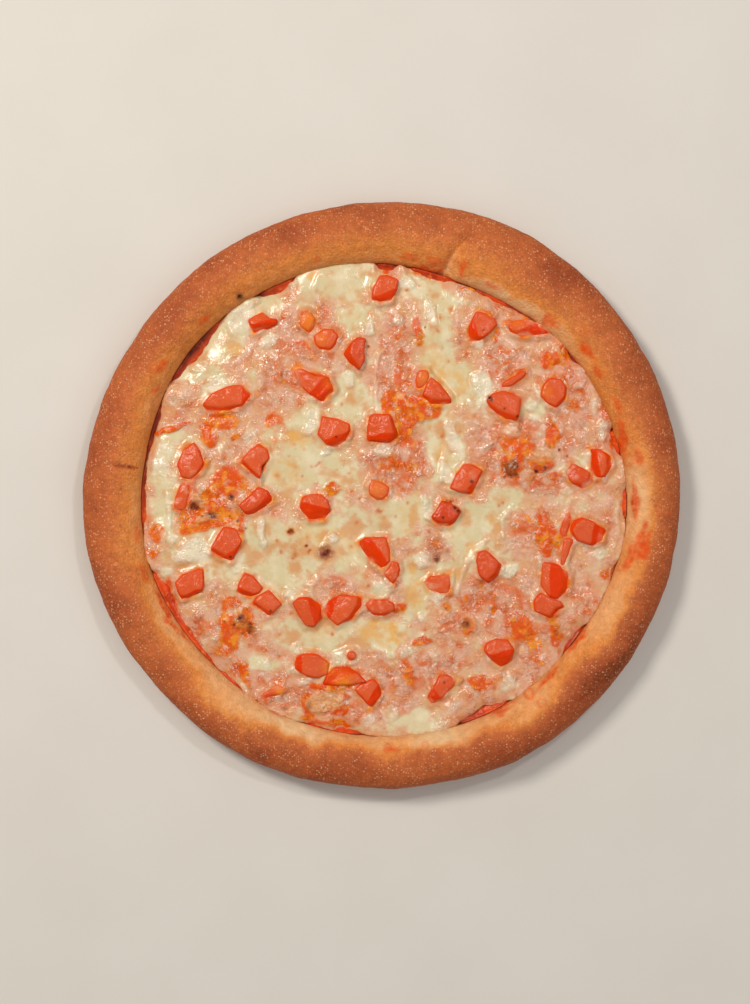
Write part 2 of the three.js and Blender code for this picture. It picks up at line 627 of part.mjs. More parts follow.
function makeCheese(pockets) {
  let sheet = toSolid(ringBody(cheeseSectionAt, CHEESE_UNDERSIDE, cheeseHeightAt(0, 0)));
  for (const pocket of pockets) {
    sheet = sheet.subtract(pocket);
  }
  return node('cheese', toGeometry(sheet), CHEESE_FINISH);
}

// ---- Assembly ----

const { pockets, solids } = diceTomatoes();
const pizza = new THREE.Group();
pizza.add(makeCrust(), makeSauce(), makeCheese(pockets), makeTomatoes(solids));

// The waves move the outline's middle a little off the axis, so it is brought back
const outline = new THREE.Box3().setFromObject(pizza);
const middle = outline.getCenter(new THREE.Vector3());
pizza.position.set(-middle.x, -middle.y, -outline.min.z);

export default pizza;
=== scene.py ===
"""A whole margherita pizza: browned crust, tomato sauce, melted mozzarella and diced tomato.

Sizes are millimetres and turns are degrees round +Z, counted from +X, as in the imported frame. Only the
finished meshes are in metres. Every piece replaces the plain solid of its name and keeps its form.
"""

from __future__ import annotations

import itertools
import logging
import math
from dataclasses import dataclass
from enum import Enum

import bpy
import numpy as np
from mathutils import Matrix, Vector
from mathutils.geometry import convex_hull_2d

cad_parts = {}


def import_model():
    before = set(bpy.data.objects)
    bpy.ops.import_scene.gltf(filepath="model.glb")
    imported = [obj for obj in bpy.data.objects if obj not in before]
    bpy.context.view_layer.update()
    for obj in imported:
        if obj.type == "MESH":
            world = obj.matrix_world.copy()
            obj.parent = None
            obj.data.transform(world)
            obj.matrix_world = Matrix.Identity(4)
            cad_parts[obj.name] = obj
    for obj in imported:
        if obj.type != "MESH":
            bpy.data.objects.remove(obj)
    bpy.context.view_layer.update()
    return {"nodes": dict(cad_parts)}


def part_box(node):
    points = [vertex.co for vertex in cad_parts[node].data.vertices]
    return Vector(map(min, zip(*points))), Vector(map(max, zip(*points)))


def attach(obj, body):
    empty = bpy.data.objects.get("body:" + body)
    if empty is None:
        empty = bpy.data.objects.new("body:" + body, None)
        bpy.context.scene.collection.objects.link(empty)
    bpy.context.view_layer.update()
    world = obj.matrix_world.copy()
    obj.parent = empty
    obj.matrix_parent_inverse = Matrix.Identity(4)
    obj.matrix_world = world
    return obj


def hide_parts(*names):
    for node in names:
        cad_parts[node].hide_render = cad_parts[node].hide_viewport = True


LOG = logging.getLogger("pizza")
MM = 0.001
BODY = "root"

# ---- The pizza's driving sizes, as in the part's own source ----

OUTER_RADIUS = 140.2
INNER_RADIUS = 113.4
FLOOR_HEIGHT = 6.0
SAUCE_TOP = 7.5
CHEESE_UNDERSIDE = 7.8
CHEESE_TOP = 12.0
RIM_HEIGHT = 20.7
RIM_CENTRE_HEIGHT = 10.0
RIM_CENTRE_SHARE = 0.52
RIM_FOOT_RADIUS = 127.3  # mean radius at which the rim meets the table
OUTSIDE_FULLNESS = 2.4
INSIDE_FULLNESS = 1.8

# Waves round an outline: how many round the pizza, size, turn of one crest
OUTER_WAVES = ((1, 0.6, 0), (2, 1.1, 15), (3, 0.7, 67), (6, 0.35, 3))
INNER_WAVES = ((1, 2.0, 270), (2, 1.8, 165), (3, 0.8, 7), (4, 0.5, 14), (7, 0.5, 41))
RIM_HEIGHT_WAVES = ((2, 0.7, 120), (3, 0.6, 40), (5, 0.5, 10), (11, 0.3, 4))
SWELLING_TURNS = (8, 30, 50, 92, 130, 178, 205, 258, 295, 322, 340)

CHEESE_CLEARANCE = 0.5

# Stretches where the cheese stops short of the crust: turn, spread, width
OPEN_STRETCHES = (
    (13, 3, 2.4), (36, 4, 0.8), (60, 10, 1.2), (78, 5, 2.4), (89, 2, 3.0), (117, 4, 3.2), (142, 7, 4.8),
    (163, 6, 1.8), (180, 9, 1.6), (204, 4, 4.0), (214, 9, 2.6), (231, 4, 1.0), (253, 4, 0.8), (262, 4, 1.6),
    (295, 5, 3.8), (323, 4, 1.8), (342, 3, 0.9), (358, 4, 1.8),
)

# Stretches where painted shadow darkens the sauce in the gap under the rim: turn, spread, strength
SAUCE_SHADOWS = (
    (90, 3, 0.7), (123, 5, 0.9), (142, 8, 0.95), (164, 7, 0.9), (177, 6, 0.6), (40, 9, 0.7), (289, 2.5, 0.8),
    (304, 4, 0.5), (342, 5, 0.5), (50, 4, 0.5), (323, 3, 0.4),
)

# Long rolls in the cheese's surface: length, heading, size, start
CHEESE_ROLLS = ((52, 20, 0.35, 0.4), (37, 105, 0.3, 1.9), (29, 62, 0.25, 3.1), (33, 150, 0.25, 5.2))


# ---- What the crust looks like, place by place ----

# Dark patches where the oven caught the rim: turn, share of its width, degrees wide, share wide, strength
DARK_PATCHES = (
    (10, 0.68, 5, 0.25, 0.7), (18, 0.88, 6, 0.2, 0.5), (27, 0.65, 6, 0.3, 0.5), (34, 0.95, 5, 0.15, 0.5),
    (43, 0.85, 5, 0.2, 0.3), (48, 0.9, 5, 0.2, 0.45), (52, 0.68, 6, 0.34, 0.95), (79, 0.72, 6, 0.3, 0.35),
    (92, 0.7, 5, 0.3, 0.6), (98, 0.95, 4, 0.15, 0.5), (110, 0.72, 6, 0.32, 0.8), (116, 0.92, 4, 0.2, 0.5),
    (126, 0.85, 4, 0.2, 0.6), (135, 0.7, 6, 0.3, 0.6), (141, 0.58, 5, 0.32, 0.7), (150, 0.75, 5, 0.3, 0.4),
    (163, 0.75, 6, 0.25, 0.4), (172, 0.85, 5, 0.3, 0.5), (183, 0.8, 5, 0.3, 0.3), (197, 0.9, 6, 0.3, 0.6),
    (202, 0.68, 5, 0.42, 0.7), (198, 0.2, 4, 0.2, 0.5), (208, 0.6, 5, 0.3, 0.45), (219, 0.65, 5, 0.26, 0.65),
    (229, 0.9, 6, 0.2, 0.5), (235, 0.75, 4, 0.3, 0.4), (245, 0.74, 5, 0.42, 0.8), (250, 0.5, 5, 0.3, 0.45),
    (257, 0.85, 5, 0.3, 0.55), (257, 0.5, 5, 0.36, 0.55), (265, 0.52, 6, 0.42, 0.8),
    (280, 0.38, 5, 0.25, 0.6), (284, 0.8, 6, 0.3, 0.3), (294, 0.65, 7, 0.5, 0.9), (289, 0.42, 5, 0.25, 0.5),
    (301, 0.85, 6, 0.25, 0.5), (308, 0.7, 7, 0.32, 0.6), (317, 0.6, 9, 0.42, 1.0), (324, 0.85, 8, 0.32, 1.0),
    (331, 0.82, 6, 0.3, 0.5), (338, 0.75, 6, 0.3, 0.5), (346, 0.8, 6, 0.3, 0.5), (355, 0.9, 6, 0.25, 0.6),
)

# Where the inner slope stayed pale: turn, degrees wide, share of the rim's width it reaches, strength
PALE_STRETCHES = (
    (1, 8, 0.5, 0.9), (41, 9, 0.24, 0.8), (57, 16, 0.2, 0.8), (104, 14, 0.22, 0.3), (127, 8, 0.2, 0.3),
    (157, 9, 0.3, 0.35), (182, 16, 0.22, 0.4), (213, 14, 0.32, 0.7), (234, 9, 0.6, 0.85),
    (249, 16, 0.36, 0.8), (268, 8, 0.26, 0.7), (281, 12, 0.36, 0.8), (295, 7, 0.26, 0.7),
    (306, 10, 0.56, 0.8), (319, 8, 0.34, 0.5), (334, 14, 0.56, 0.8), (356, 8, 0.5, 0.95),
)

# Where flour kept it cream: turn, degrees wide, share of the rim's width it reaches, strength
FLOURY_STRETCHES = (
    (1, 8, 0.5, 0.6), (57, 16, 0.18, 0.7), (104, 12, 0.12, 0.3), (182, 12, 0.14, 0.2), (213, 14, 0.3, 0.3),
    (233, 8, 0.3, 0.3), (249, 14, 0.32, 0.85), (267, 7, 0.2, 0.4), (284, 10, 0.34, 0.9), (300, 5, 0.2, 0.4),
    (334, 8, 0.4, 0.3), (226, 6, 0.2, 0.4),
)

# Sauce that ran up the inner slope: turn, share of the rim's width, degrees wide, share wide, strength
STAINS = (
    (14, 0.1, 8, 0.16, 0.9), (8, 0.26, 3, 0.12, 0.6), (21, 0.17, 5, 0.14, 0.7), (30, 0.16, 4, 0.12, 0.8),
    (35, 0.24, 5, 0.13, 1.0), (46, 0.14, 3, 0.12, 0.7), (62, 0.1, 4, 0.08, 0.5), (71, 0.2, 1.6, 0.22, 0.8),
    (76, 0.14, 5, 0.14, 0.6), (83, 0.1, 4, 0.1, 0.6), (136, 0.14, 4, 0.1, 0.7), (150, 0.24, 3, 0.16, 0.8),
    (155, 0.12, 4, 0.1, 0.6), (105, 0.16, 2, 0.1, 0.5), (189, 0.06, 4, 0.12, 0.5), (198, 0.14, 5, 0.12, 0.5),
    (212, 0.04, 12, 0.07, 0.7), (244, 0.02, 3, 0.1, 0.6), (272, 0.24, 2, 0.1, 0.6),
    (300, 0.04, 6, 0.12, 0.8), (312, 0.06, 6, 0.1, 0.6), (325, 0.04, 5, 0.1, 0.6), (349, 0.4, 5, 0.24, 1.0),
    (347, 0.2, 7, 0.16, 0.8), (352, 0.28, 5, 0.14, 0.9), (359, 0.1, 8, 0.14, 0.9), (12, 0.02, 4, 0.1, 1.0),
    (78, 0.02, 7, 0.08, 0.9), (323, 0.03, 6, 0.08, 0.8), (313, 0.06, 6, 0.05, 0.7),
    (208, 0.06, 9, 0.08, 0.8),
)

# Bubbles that rose in the dough and browned, or burst where their lift is below 0: x, y, width, lift
BLISTERS = (
    (69.5, -93.4, 5.5, 0.9), (75.2, -97.2, 5, 0.6), (113.2, -34.1, 4, 0.6), (116.5, 16.5, 5.5, 0.5),
    (118.5, 20.5, 4, 0.4), (-66.9, 93.7, 3.2, -1.6), (-123.4, 14.5, 5, -0.5), (95, 77, 4, 0.4),
    (-107, 60, 5, 0.5), (3, -118.5, 4, 0.5), (20.5, -117.5, 3.5, 0.5),
)

# A brown crack down the slope: turn, from and to in shares of the rim's width, half width
CRACK = (173.5, 0.05, 0.55, 0.7)


class Tone(Enum):
    """What a patch of the cheese has become."""

    CREAM = "smooth"  # a pool of plain melted cheese
    PINK = "sauced"  # mixed with the sauce below, and curdled
    YELLOW = "buttery"  # a pool of clear fat over smooth cheese
    # Thick milky cheese, and painted sheen: pale patches laid where highlights and glints fall
    WHITE = "milky"  # thick and smooth
    ORANGE = "oily"  # a piece of tomato melted in, or oil
    PIECE = "melted_in"  # tomato just under the surface
    BAKED = "baked"  # a dry, granular top
    BROWN = "toasted"
    BURNT = "burnt"


# How a patch's edge fades, in shares of its half size
PLAIN_EDGE = (0.6, 1.45)
EDGES = {Tone.PIECE: (0.8, 1.15), Tone.BAKED: (0.75, 1.2)}

# What the cheese looks like, place by place: x, y, length, width, strength, and its turn where it has one
PATCHES: dict[Tone, tuple[tuple[float, ...], ...]] = {
    Tone.CREAM: (
        (-18.5, 102, 36, 18, 1), (-16, 87, 17, 18, 0.9), (-82, 67, 40, 18, 0.9, 38),
        (-59, 87, 24, 12, 0.8, 25), (-42, 21, 32, 38, 1), (-14.5, 46, 17, 22, 1), (-21.5, 12, 25, 15, 0.9),
        (-57, -31, 50, 36, 1), (-18.5, -20, 32, 28, 1), (-4, -66, 30, 14, 0.9), (-36, -66, 36, 15, 0.9),
        (27.5, 70, 16, 30, 1), (19, 99, 18, 16, 0.7), (30.5, 24, 17, 38, 1, 10), (45, -20, 24, 28, 0.9),
        (-88, -28, 28, 30, 0.8), (-103, -4, 15, 30, 0.7), (-100, 24, 16, 16, 0.7), (59, -5, 22, 14, 0.8),
        (17, -107, 22, 10, 0.8, 10), (30, 91, 16, 11, 0.7), (40, 52, 20, 22, 0.9), (8, -10, 24, 16, 0.9),
        (-75, 47, 16, 10, 0.7, 20), (16, -42, 14, 24, 0.9, 8), (-58, -78, 12, 8, 0.6), (96, 14, 12, 16, 0.4),
        (-33, 36, 14, 14, 0.8), (31, -38, 14, 14, 0.7), (-30, -84, 20, 8, 0.5), (72, 40, 12, 10, 0.6),
    ),
    Tone.PINK: (
        (-24, 81.5, 13, 19.5, 0.8), (-43, 77.5, 13, 22.5, 0.8), (-32.5, 66.5, 24, 8.5, 0.8, -10),
        (-49, 59, 15, 16.5, 0.7), (-48, 46.5, 22.5, 25, 0.9), (-81.5, 71, 10, 13, 0.4),
        (-96.5, 43.5, 15, 15, 0.45), (-69.5, 18.5, 14.5, 11.5, 0.5), (-9, 14, 17.5, 10, 0.8),
        (1, 59, 9, 32, 0.8), (6.5, 72.5, 14, 33, 0.9, -8), (11, 52, 20.5, 23.5, 0.9), (11, 19, 22, 33, 0.9),
        (37, 71, 12.5, 17.5, 0.8), (56, 63, 26, 16, 1, 10), (89.5, 58, 16, 11, 0.9), (92, 45, 14, 22, 0.9),
        (86, 30.5, 22, 20.5, 1), (60.5, 23.5, 33, 25, 0.9), (78, 6, 36, 10, 0.9), (104, 33, 7, 33, 0.7),
        (43.5, 26.5, 14, 12.5, 0.6), (43.5, 74, 16, 9.5, 0.5), (60.5, 85, 28.5, 11, 0.5, -25),
        (49.5, 97.5, 20.5, 4.5, 0.6, -12), (-81, -41.5, 14, 10, 0.4), (-86, -64, 14.5, 15.5, 0.6, -45),
        (-57, -71.5, 20, 11.5, 0.5, -30), (-51.5, -89.5, 23, 13, 0.9, -10), (-45.5, -97, 21.5, 8.5, 0.8),
        (-13.5, -102.5, 23, 10, 0.8), (-20, -42.5, 15.5, 11, 0.8, 10), (-108, -13, 9.5, 20, 0.4),
        (-4.5, -81, 14, 14, 0.5), (-67, -7.5, 11.5, 12.5, 0.9), (-74.5, -2, 9.5, 11, 1),
        (68.5, -14, 24.5, 18, 0.8), (70.5, -26, 14.5, 6.5, 0.6), (53, -50.5, 36, 22, 1),
        (59.5, -61.5, 19.5, 11.5, 0.8), (33.5, -60.5, 15.5, 10, 0.9), (82, -61.5, 18, 14, 0.5),
        (32, -75, 18, 14, 0.8), (23.5, -81.5, 28, 18, 0.8), (8, -87.5, 26, 12.5, 1),
        (70.5, -80, 19.5, 11.5, 0.7, 25), (95.5, -48, 14.5, 19, 0.7, 20), (5.5, -99.5, 21.5, 14, 0.7),
        (33.5, -100.5, 24.5, 9, 0.6, 15), (103, -14, 16.5, 19.5, 0.4), (27, -24.5, 13, 16.5, 0.5),
        (7.5, -43.5, 13, 10, 0.5),
    ),
    Tone.YELLOW: (
        (-32.5, 103.5, 6, 5.5, 0.8), (-68, 70.5, 16.5, 6, 0.7, 8), (-40, 27, 11.5, 8.5, 0.9),
        (-77, 34.5, 9, 6, 0.4), (-43, 10.5, 19.5, 12, 0.45), (-18.5, 93, 15, 18, 0.25),
        (23.5, 64.5, 12, 17.5, 0.5), (31.5, 52.5, 16, 25, 0.6), (33, 88, 4.5, 4, 0.8),
        (37, 52.5, 5.5, 5.5, 0.6), (41.5, 56, 3, 5.5, 0.9), (29, 17.5, 9.5, 16, 0.4),
        (70.5, 52.5, 4.5, 4, 0.7), (-2, -64, 17, 12.5, 0.9), (3.5, -68, 7.5, 4.5, 0.9),
        (-24.5, -22, 32.5, 18.5, 0.35, -20), (-27.5, -65.5, 12.5, 7.5, 0.3), (16.5, -43.5, 9, 24.5, 0.9, 8),
        (3.5, -65.5, 14.5, 14, 0.9), (41.5, -24.5, 5.5, 10, 0.8, 10), (35, -36, 8, 13, 0.4),
        (14.5, -10.5, 16.5, 21.5, 0.35), (52.5, -14.5, 5, 10, 0.4), (45, -48, 5.5, 6.5, 0.3),
    ),
    # Thick milky cheese, and painted sheen where highlights and glints lie
    Tone.WHITE: (
        (-67, 83.5, 13, 16, 1, -35), (-54, 73, 10, 5.5, 0.9, 20), (-78.5, 52, 9, 8.5, 0.9, 45),
        (-96.5, 46, 11.5, 11.5, 0.5), (-6, 79, 4.5, 8.5, 1), (-15.5, 55, 6, 8.5, 0.8),
        (-33, 35.5, 7, 13.5, 1, -20), (-62.5, 29, 7, 12, 0.8), (-104, 18.5, 10, 16.5, 0.8),
        (-42, 100, 6, 4, 0.8, 30), (-25.5, 20.5, 5.5, 4.5, 0.9), (-87, 61, 8.5, 6, 0.6, 30),
        (-60.5, 91.5, 10, 4, 0.6, 15), (-99.5, 7.5, 8.5, 9, 0.4), (23.5, 86, 5.5, 12, 0.9, 10),
        (12, 100.5, 8.5, 6.5, 0.9, -20), (8, 83.5, 4.5, 12, 0.7, 20), (45.5, 72, 6.5, 3, 0.9),
        (48, 51, 9.5, 16, 1, 15), (73, 49, 3, 10, 0.8, 15), (70, 42.5, 6.5, 5.5, 0.8), (71, 36, 4.5, 4, 0.7),
        (34, 26.5, 7, 19, 1, 12), (30.5, 10, 6.5, 12.5, 0.9, 20), (49.5, 22, 8.5, 5.5, 0.6, 40),
        (62, 30.5, 12, 5.5, 0.7), (97, 18, 5.5, 8.5, 0.9), (101, 43, 5.5, 8.5, 0.7),
        (104.5, 31.5, 6.5, 12.5, 0.7), (93.5, 52.5, 6.5, 4.5, 0.6), (38.5, 92.5, 11, 4.5, 0.5, -10),
        (0.5, 21, 8.5, 8, 0.8), (87.5, 2, 7, 4, 0.7), (65.5, 90.5, 10, 7, 0.4, -30),
        (43.5, 42.5, 7, 8.5, 0.5, 20), (-56.5, -18.5, 4.5, 15.5, 1, 8), (-101, -7, 2.5, 17, 0.8),
        (-100.5, -20.5, 5.5, 6, 0.8), (-89.5, -27, 19.5, 12.5, 1, 20), (-102.5, -36, 6, 5.5, 0.7),
        (-68, -34.5, 4.5, 5.5, 0.8, 20), (-71, -43, 5.5, 4.5, 0.8), (-43.5, -47.5, 7, 4.5, 0.9),
        (-23.5, -20.5, 7.5, 6, 0.8, 35), (-22, -36, 7, 4.5, 0.5, 20), (-41, -72, 6, 5.5, 0.7),
        (0.5, -43, 11, 7, 0.8), (-56, -79.5, 6, 7, 0.7), (-42, -83, 6, 4, 0.8), (-37, -88, 7, 3, 0.8, 10),
        (-20, -77, 9.5, 8.5, 0.9, 30), (-6, -83, 7.5, 4.5, 0.6, -20), (-81.5, -68.5, 9.5, 7, 0.6),
        (-50.5, -97, 7, 4.5, 0.6, 30), (-65.5, -91, 6, 3, 0.8, -40), (-6.5, -106.5, 7, 5.5, 0.7),
        (-55.5, -36, 12.5, 9.5, 0.3), (-92.5, -54.5, 9.5, 7.5, 0.4, -30), (21.5, -6.5, 5.5, 14.5, 0.8, 12),
        (60.5, -35.5, 8, 7.5, 1), (19.5, -30, 9, 6.5, 0.9), (26.5, -48, 7.5, 4, 1),
        (103, -27, 7.5, 7.5, 0.8), (50.5, -76, 4, 6.5, 0.9, 30), (18, -58, 4, 4, 0.8),
        (30.5, -58, 9, 5, 0.6), (12.5, -74.5, 7.5, 6.5, 0.8, 20), (3.5, -76, 5, 5.5, 0.8),
        (24.5, -77.5, 5, 6.5, 0.7, 20), (60.5, -89, 7.5, 9, 0.8, -30), (32, -101.5, 16.5, 6.5, 0.5, 20),
        (4, -104, 9, 7.5, 0.7), (75, -56.5, 7.5, 5.5, 0.6, -10), (5, -45.5, 10, 5, 0.6, 10),
        (27, -109.5, 13, 6.5, 0.7, 20), (56.5, -22, 10, 9, 0.5), (89, -33.5, 3.5, 9, 0.6),
        (100, -7.5, 11.5, 5, 0.4),
    ),
    Tone.ORANGE: (
        (-99.5, 31.5, 22, 3.5, 0.9, 18), (-81.5, 27.5, 9, 10, 1), (-77, 35.5, 19.5, 9, 0.6),
        (-73.5, 7.5, 14.5, 13, 0.75), (-52, 35.5, 11.5, 6, 0.5), (-32.5, 65, 4.5, 4.5, 0.5),
        (2.5, 67, 4, 4.5, 0.5), (2, 43, 4.5, 10.5, 0.7), (-69.5, 27.5, 4.5, 4, 0.9, 20),
        (4, 44, 10, 11, 0.8), (11, 49, 9.5, 23.5, 0.5, -10), (15, 44, 12.5, 5.5, 0.8, -12),
        (18, 75, 5.5, 8.5, 0.8), (64, 23, 16, 11, 0.8), (62, 13.5, 12.5, 9.5, 0.9, 20),
        (80.5, 29, 8, 13.5, 0.95, 15), (76.5, 14.5, 13.5, 7, 0.9, 5), (78, 63.5, 8.5, 8.5, 0.9),
        (86, 64.5, 10, 6.5, 0.8, -10), (65.5, 56.5, 4.5, 8.5, 0.8, -40), (56, 64.5, 16, 7, 0.3),
        (4, 15, 14, 6.5, 0.6), (15, 13.5, 6.5, 16, 0.5), (23, 104.5, 12, 4.5, 0.6, -10),
        (54.5, 75.5, 2.5, 9.5, 0.7, -8), (53.5, 19, 7, 7, 0.6), (-84.5, -7.5, 25.5, 11.5, 0.95, 25),
        (-81.5, -2, 8.5, 12.5, 1), (-107, -17, 7, 10, 0.7), (-107.5, -27, 4.5, 5.5, 0.7),
        (-72.5, -64, 8.5, 19.5, 1, 12), (-64.5, -59.5, 11.5, 14.5, 0.7), (-67.5, -82.5, 9.5, 8.5, 0.75),
        (-64, -88, 4.5, 7, 0.6), (-35.5, -98.5, 6, 11, 0.9, 15), (-20, -102, 9.5, 5.5, 1, 15),
        (-27.5, -96.5, 18.5, 9.5, 0.5, 5), (-48.5, -105.5, 6, 2.5, 0.8), (-19.5, -96, 4, 4, 0.9),
        (-49, -93, 7, 4, 0.6, 20), (-19, -88.5, 11, 4.5, 0.9, -35), (-71.5, -51, 9.5, 6, 0.7),
        (77.5, -18, 10.5, 13, 1, -15), (66, -14, 10, 10.5, 0.5), (66, -63, 10, 14, 0.85),
        (82.5, -65.5, 5.5, 16.5, 0.85, 8), (73.5, -68.5, 9, 10, 0.6), (47, -88.5, 13, 7.5, 0.85),
        (19, -69.5, 10, 5, 0.8), (40, -62, 8, 8, 0.9), (41.5, -50, 10, 9, 0.6), (52.5, -54, 4, 6.5, 0.7),
        (75, -79.5, 6.5, 5.5, 0.7), (55.5, -88.5, 5.5, 7.5, 0.5), (105.5, -37.5, 5.5, 5, 0.9),
        (90, -58, 5, 5, 0.5), (30.5, -52.5, 5, 4, 0.8), (12.5, -85, 5, 14, 0.7, 10),
        (28.5, -24.5, 9, 5, 0.5, -30), (77.5, -24.5, 7.5, 7.5, 0.7), (97.5, -54, 5, 5.5, 0.6),
        (44, 98, 14, 3, 0.8, -8), (58, 92, 14, 3, 0.7, -30), (72, 82, 16, 3.5, 0.8, -38),
        (88, 68, 12, 4, 0.7, -45), (-40, 60, 6, 6, 0.6), (-72, 38, 9, 16, 0.5), (-50, 31, 11, 18, 0.45),
        (-83, 14, 6, 9, 0.5), (-97, -5, 9, 5, 0.5), (-80, -13, 34, 7, 0.8, 15), (-66, 5, 8, 8, 0.6),
        (-67, -15, 5, 11, 0.6), (-23.5, 3, 7, 6.5, 1), (-83, -32, 4, 9, 0.5), (-66, -48, 7, 7, 0.5),
        (-76, -73, 9, 11, 0.6), (-25, -92, 22, 5, 0.7, -20), (-35, -105, 9, 4, 0.7, -5),
        (-20, -108.5, 12, 4, 0.8), (8.5, -54, 7, 5, 0.9), (20, 41, 17, 12, 0.9), (10, 32, 11, 14, 0.7),
        (18, 105, 7, 5, 0.7), (60, 12, 10, 8, 0.5), (70, 18, 8, 6, 0.5), (98, 8, 6, 6, 0.5),
        (72, -10, 9, 9, 0.5), (83, -22, 6, 8, 0.7), (72, -72, 8, 10, 0.5), (93, -66, 4, 7, 0.6),
        (109.5, 27, 5, 9, 0.8), (82, -40, 5, 22, 0.4, 5), (60, 56, 10, 6, 0.4, 20),
    ),
    Tone.PIECE: (
        (-72.6, 6, 13, 15, 0.9, 20), (-63.8, 46, 4, 6, 0.9), (-90.5, 3, 7, 17, 0.6, 8),
        (-28, -90.4, 16, 3.6, 1, -6), (-36.3, -100.3, 4.2, 8, 0.9, 18), (-20.8, -103, 8.5, 4.6, 1, 15),
        (-19.4, -96.6, 3.4, 4, 0.9), (-30.3, -107.8, 14, 2.6, 0.8, -3), (65.6, 18.2, 5.4, 15, 0.9),
        (59.3, 17.2, 4.6, 5, 1), (69, 22.5, 7, 5, 0.7), (80.6, 27.5, 5.6, 10, 0.9, 10),
        (76.6, 13.4, 12, 4.6, 0.8, 4), (82.9, 9.2, 4, 3, 0.8), (73.4, 5.6, 8.5, 2.6, 0.7, 35),
        (76.2, -10.4, 5.6, 5.4, 0.9), (79.2, -18.4, 9.6, 10, 0.9), (78, -26.6, 6.6, 5.6, 1),
        (67.3, -14.4, 4.6, 4.6, 0.7), (77.8, 64, 7, 9, 0.8), (84, 65.5, 8, 4.5, 0.8, -20),
        (15.8, 43, 13, 5.4, 0.95, -12), (19.6, 38.6, 6.4, 5, 0.9), (2.8, 44.4, 3.4, 6.4, 0.9),
        (10, 45.5, 4, 7.5, 0.8), (7, 55.6, 3.2, 9, 0.8), (17.3, 79, 4.4, 11, 0.7), (11, 33, 4, 6, 0.7),
        (15, 25, 5, 7, 0.6), (-37.4, 71.8, 9.5, 2.6, 0.8, -22), (-51, 62.3, 3, 6, 0.5),
        (65.8, 57.6, 6.4, 4, 0.9, 30), (60, 53.5, 5, 2.6, 0.8, 35), (1.1, 106.8, 3.6, 6, 0.9),
        (-100.3, -47.3, 3.6, 18, 0.9, 8), (-100, 31.5, 20, 2.6, 0.8, 18), (-82, 27.5, 6.5, 9, 0.8),
        (-75, 34.5, 14, 6.5, 0.45), (-73, -64, 6.5, 15, 0.8, 12), (-68, -82.5, 7, 6.5, 0.7),
        (66, -63.5, 8, 11, 0.7), (82.5, -66, 4, 14, 0.7, 8), (47, -88.5, 11, 6, 0.7),
        (19, -69.5, 8.5, 4, 0.7), (-85.6, -12.6, 19, 4, 0.8, 15), (-80.6, -5.6, 9, 6.5, 0.9, 30),
        (-66.5, -13.5, 4, 9, 0.7), (8.2, -53.6, 7, 3.6, 0.9), (97.5, 8.5, 5, 3, 0.7, 30),
        (103.6, 6.5, 4, 3, 0.7),
    ),
    Tone.BAKED: (
        (-27.5, -98, 20, 11.5, 1, 6), (76, 18, 13, 6.5, 0.7), (-87.6, -2.4, 10.5, 4.6, 0.9, -58),
        (-83, -11, 11, 3.6, 0.9, 17), (41, -61.5, 9.5, 6.5, 0.6), (64, -12, 9, 11, 0.5), (61, 14, 5, 9, 0.6),
        (-69.6, -5.6, 7, 12, 0.4), (-67, -59.5, 9, 9, 0.5),
    ),
    Tone.BROWN: (
        (61.5, 12.5, 9.5, 8.5, 0.9), (76.5, 13, 12, 4.5, 0.5), (18, 74, 3, 5.5, 0.5),
        (-89, -5, 6, 7, 0.7, 30), (-80.5, -9.5, 6, 4, 0.8, 20), (-71, -1.5, 4, 4, 0.7),
        (-67, -58.5, 4.5, 4.5, 0.7), (-62, -62.5, 4.5, 7, 0.7), (-27.5, -95, 17, 5.5, 0.35, 8),
        (-34.5, -100, 4, 4.5, 0.6), (-27, -27.5, 8.5, 7, 0.8), (-67.5, -61.5, 11.5, 10, 0.4),
        (-69, -81.5, 6, 4, 0.6), (-46, -101, 4, 2.5, 0.7), (39, -61, 6.5, 5.5, 0.8),
        (26, -24.5, 11.5, 14, 0.4), (26, -30, 3.5, 3.5, 0.9), (83, -64.5, 3.5, 7.5, 0.6),
        (41.5, -50.5, 7.5, 5.5, 0.4), (19, -68.5, 7.5, 3.5, 0.4),
    ),
}

# Pieces of tomato, by number, under a film of cheese, and how thick it is
VEILS = {
    11: 0.2, 16: 0.35, 17: 0.5, 18: 0.45, 20: 0.6, 21: 0.25, 27: 0.5, 28: 0.4, 30: 0.5, 33: 0.5, 39: 0.6,
    44: 0.35, 45: 0.4, 47: 0.6,
}

# Deeper red flesh on their tops: the turn of the side it lies on, and how far from the middle it starts
FLESH = {
    1: (290, 1.5), 2: (285, -0.5), 6: (200, 2.5), 7: (300, -1), 8: (315, 0.5), 9: (0, 7), 14: (290, 2.5),
    15: (280, 2.5), 18: (320, 3), 19: (190, 1), 22: (330, 2), 23: (255, -1), 25: (310, 4), 26: (215, -1.5),
    29: (350, 2.5), 31: (0, -2.4), 34: (290, 3.5), 35: (250, 2), 36: (250, 3), 37: (20, 1), 38: (160, 4),
    40: (285, 0), 41: (180, 4.5), 42: (120, -1), 43: (330, 1.5), 44: (215, 3),
}

# How much deeper red all of a piece is
RIPE = {
    5: 0.4, 20: 0.45, 22: 0.35, 24: 0.75, 28: 0.4,
}

# Amber flesh on them: x, y, width, strength
AMBER_SPOTS = (
    (-34.6, 82.8, 10, 0.8), (-28.5, 74, 6, 0.5), (-25, -81, 6, 0.8), (-17.9, -89, 9, 0.9),
    (-48.4, -92.3, 5.5, 0.8), (-1.8, 3, 9, 0.5), (19.6, 55.7, 6, 0.6), (78, 49, 6, 0.4), (-24, 53, 7, 0.35),
    (64, 82, 6, 0.4),
)

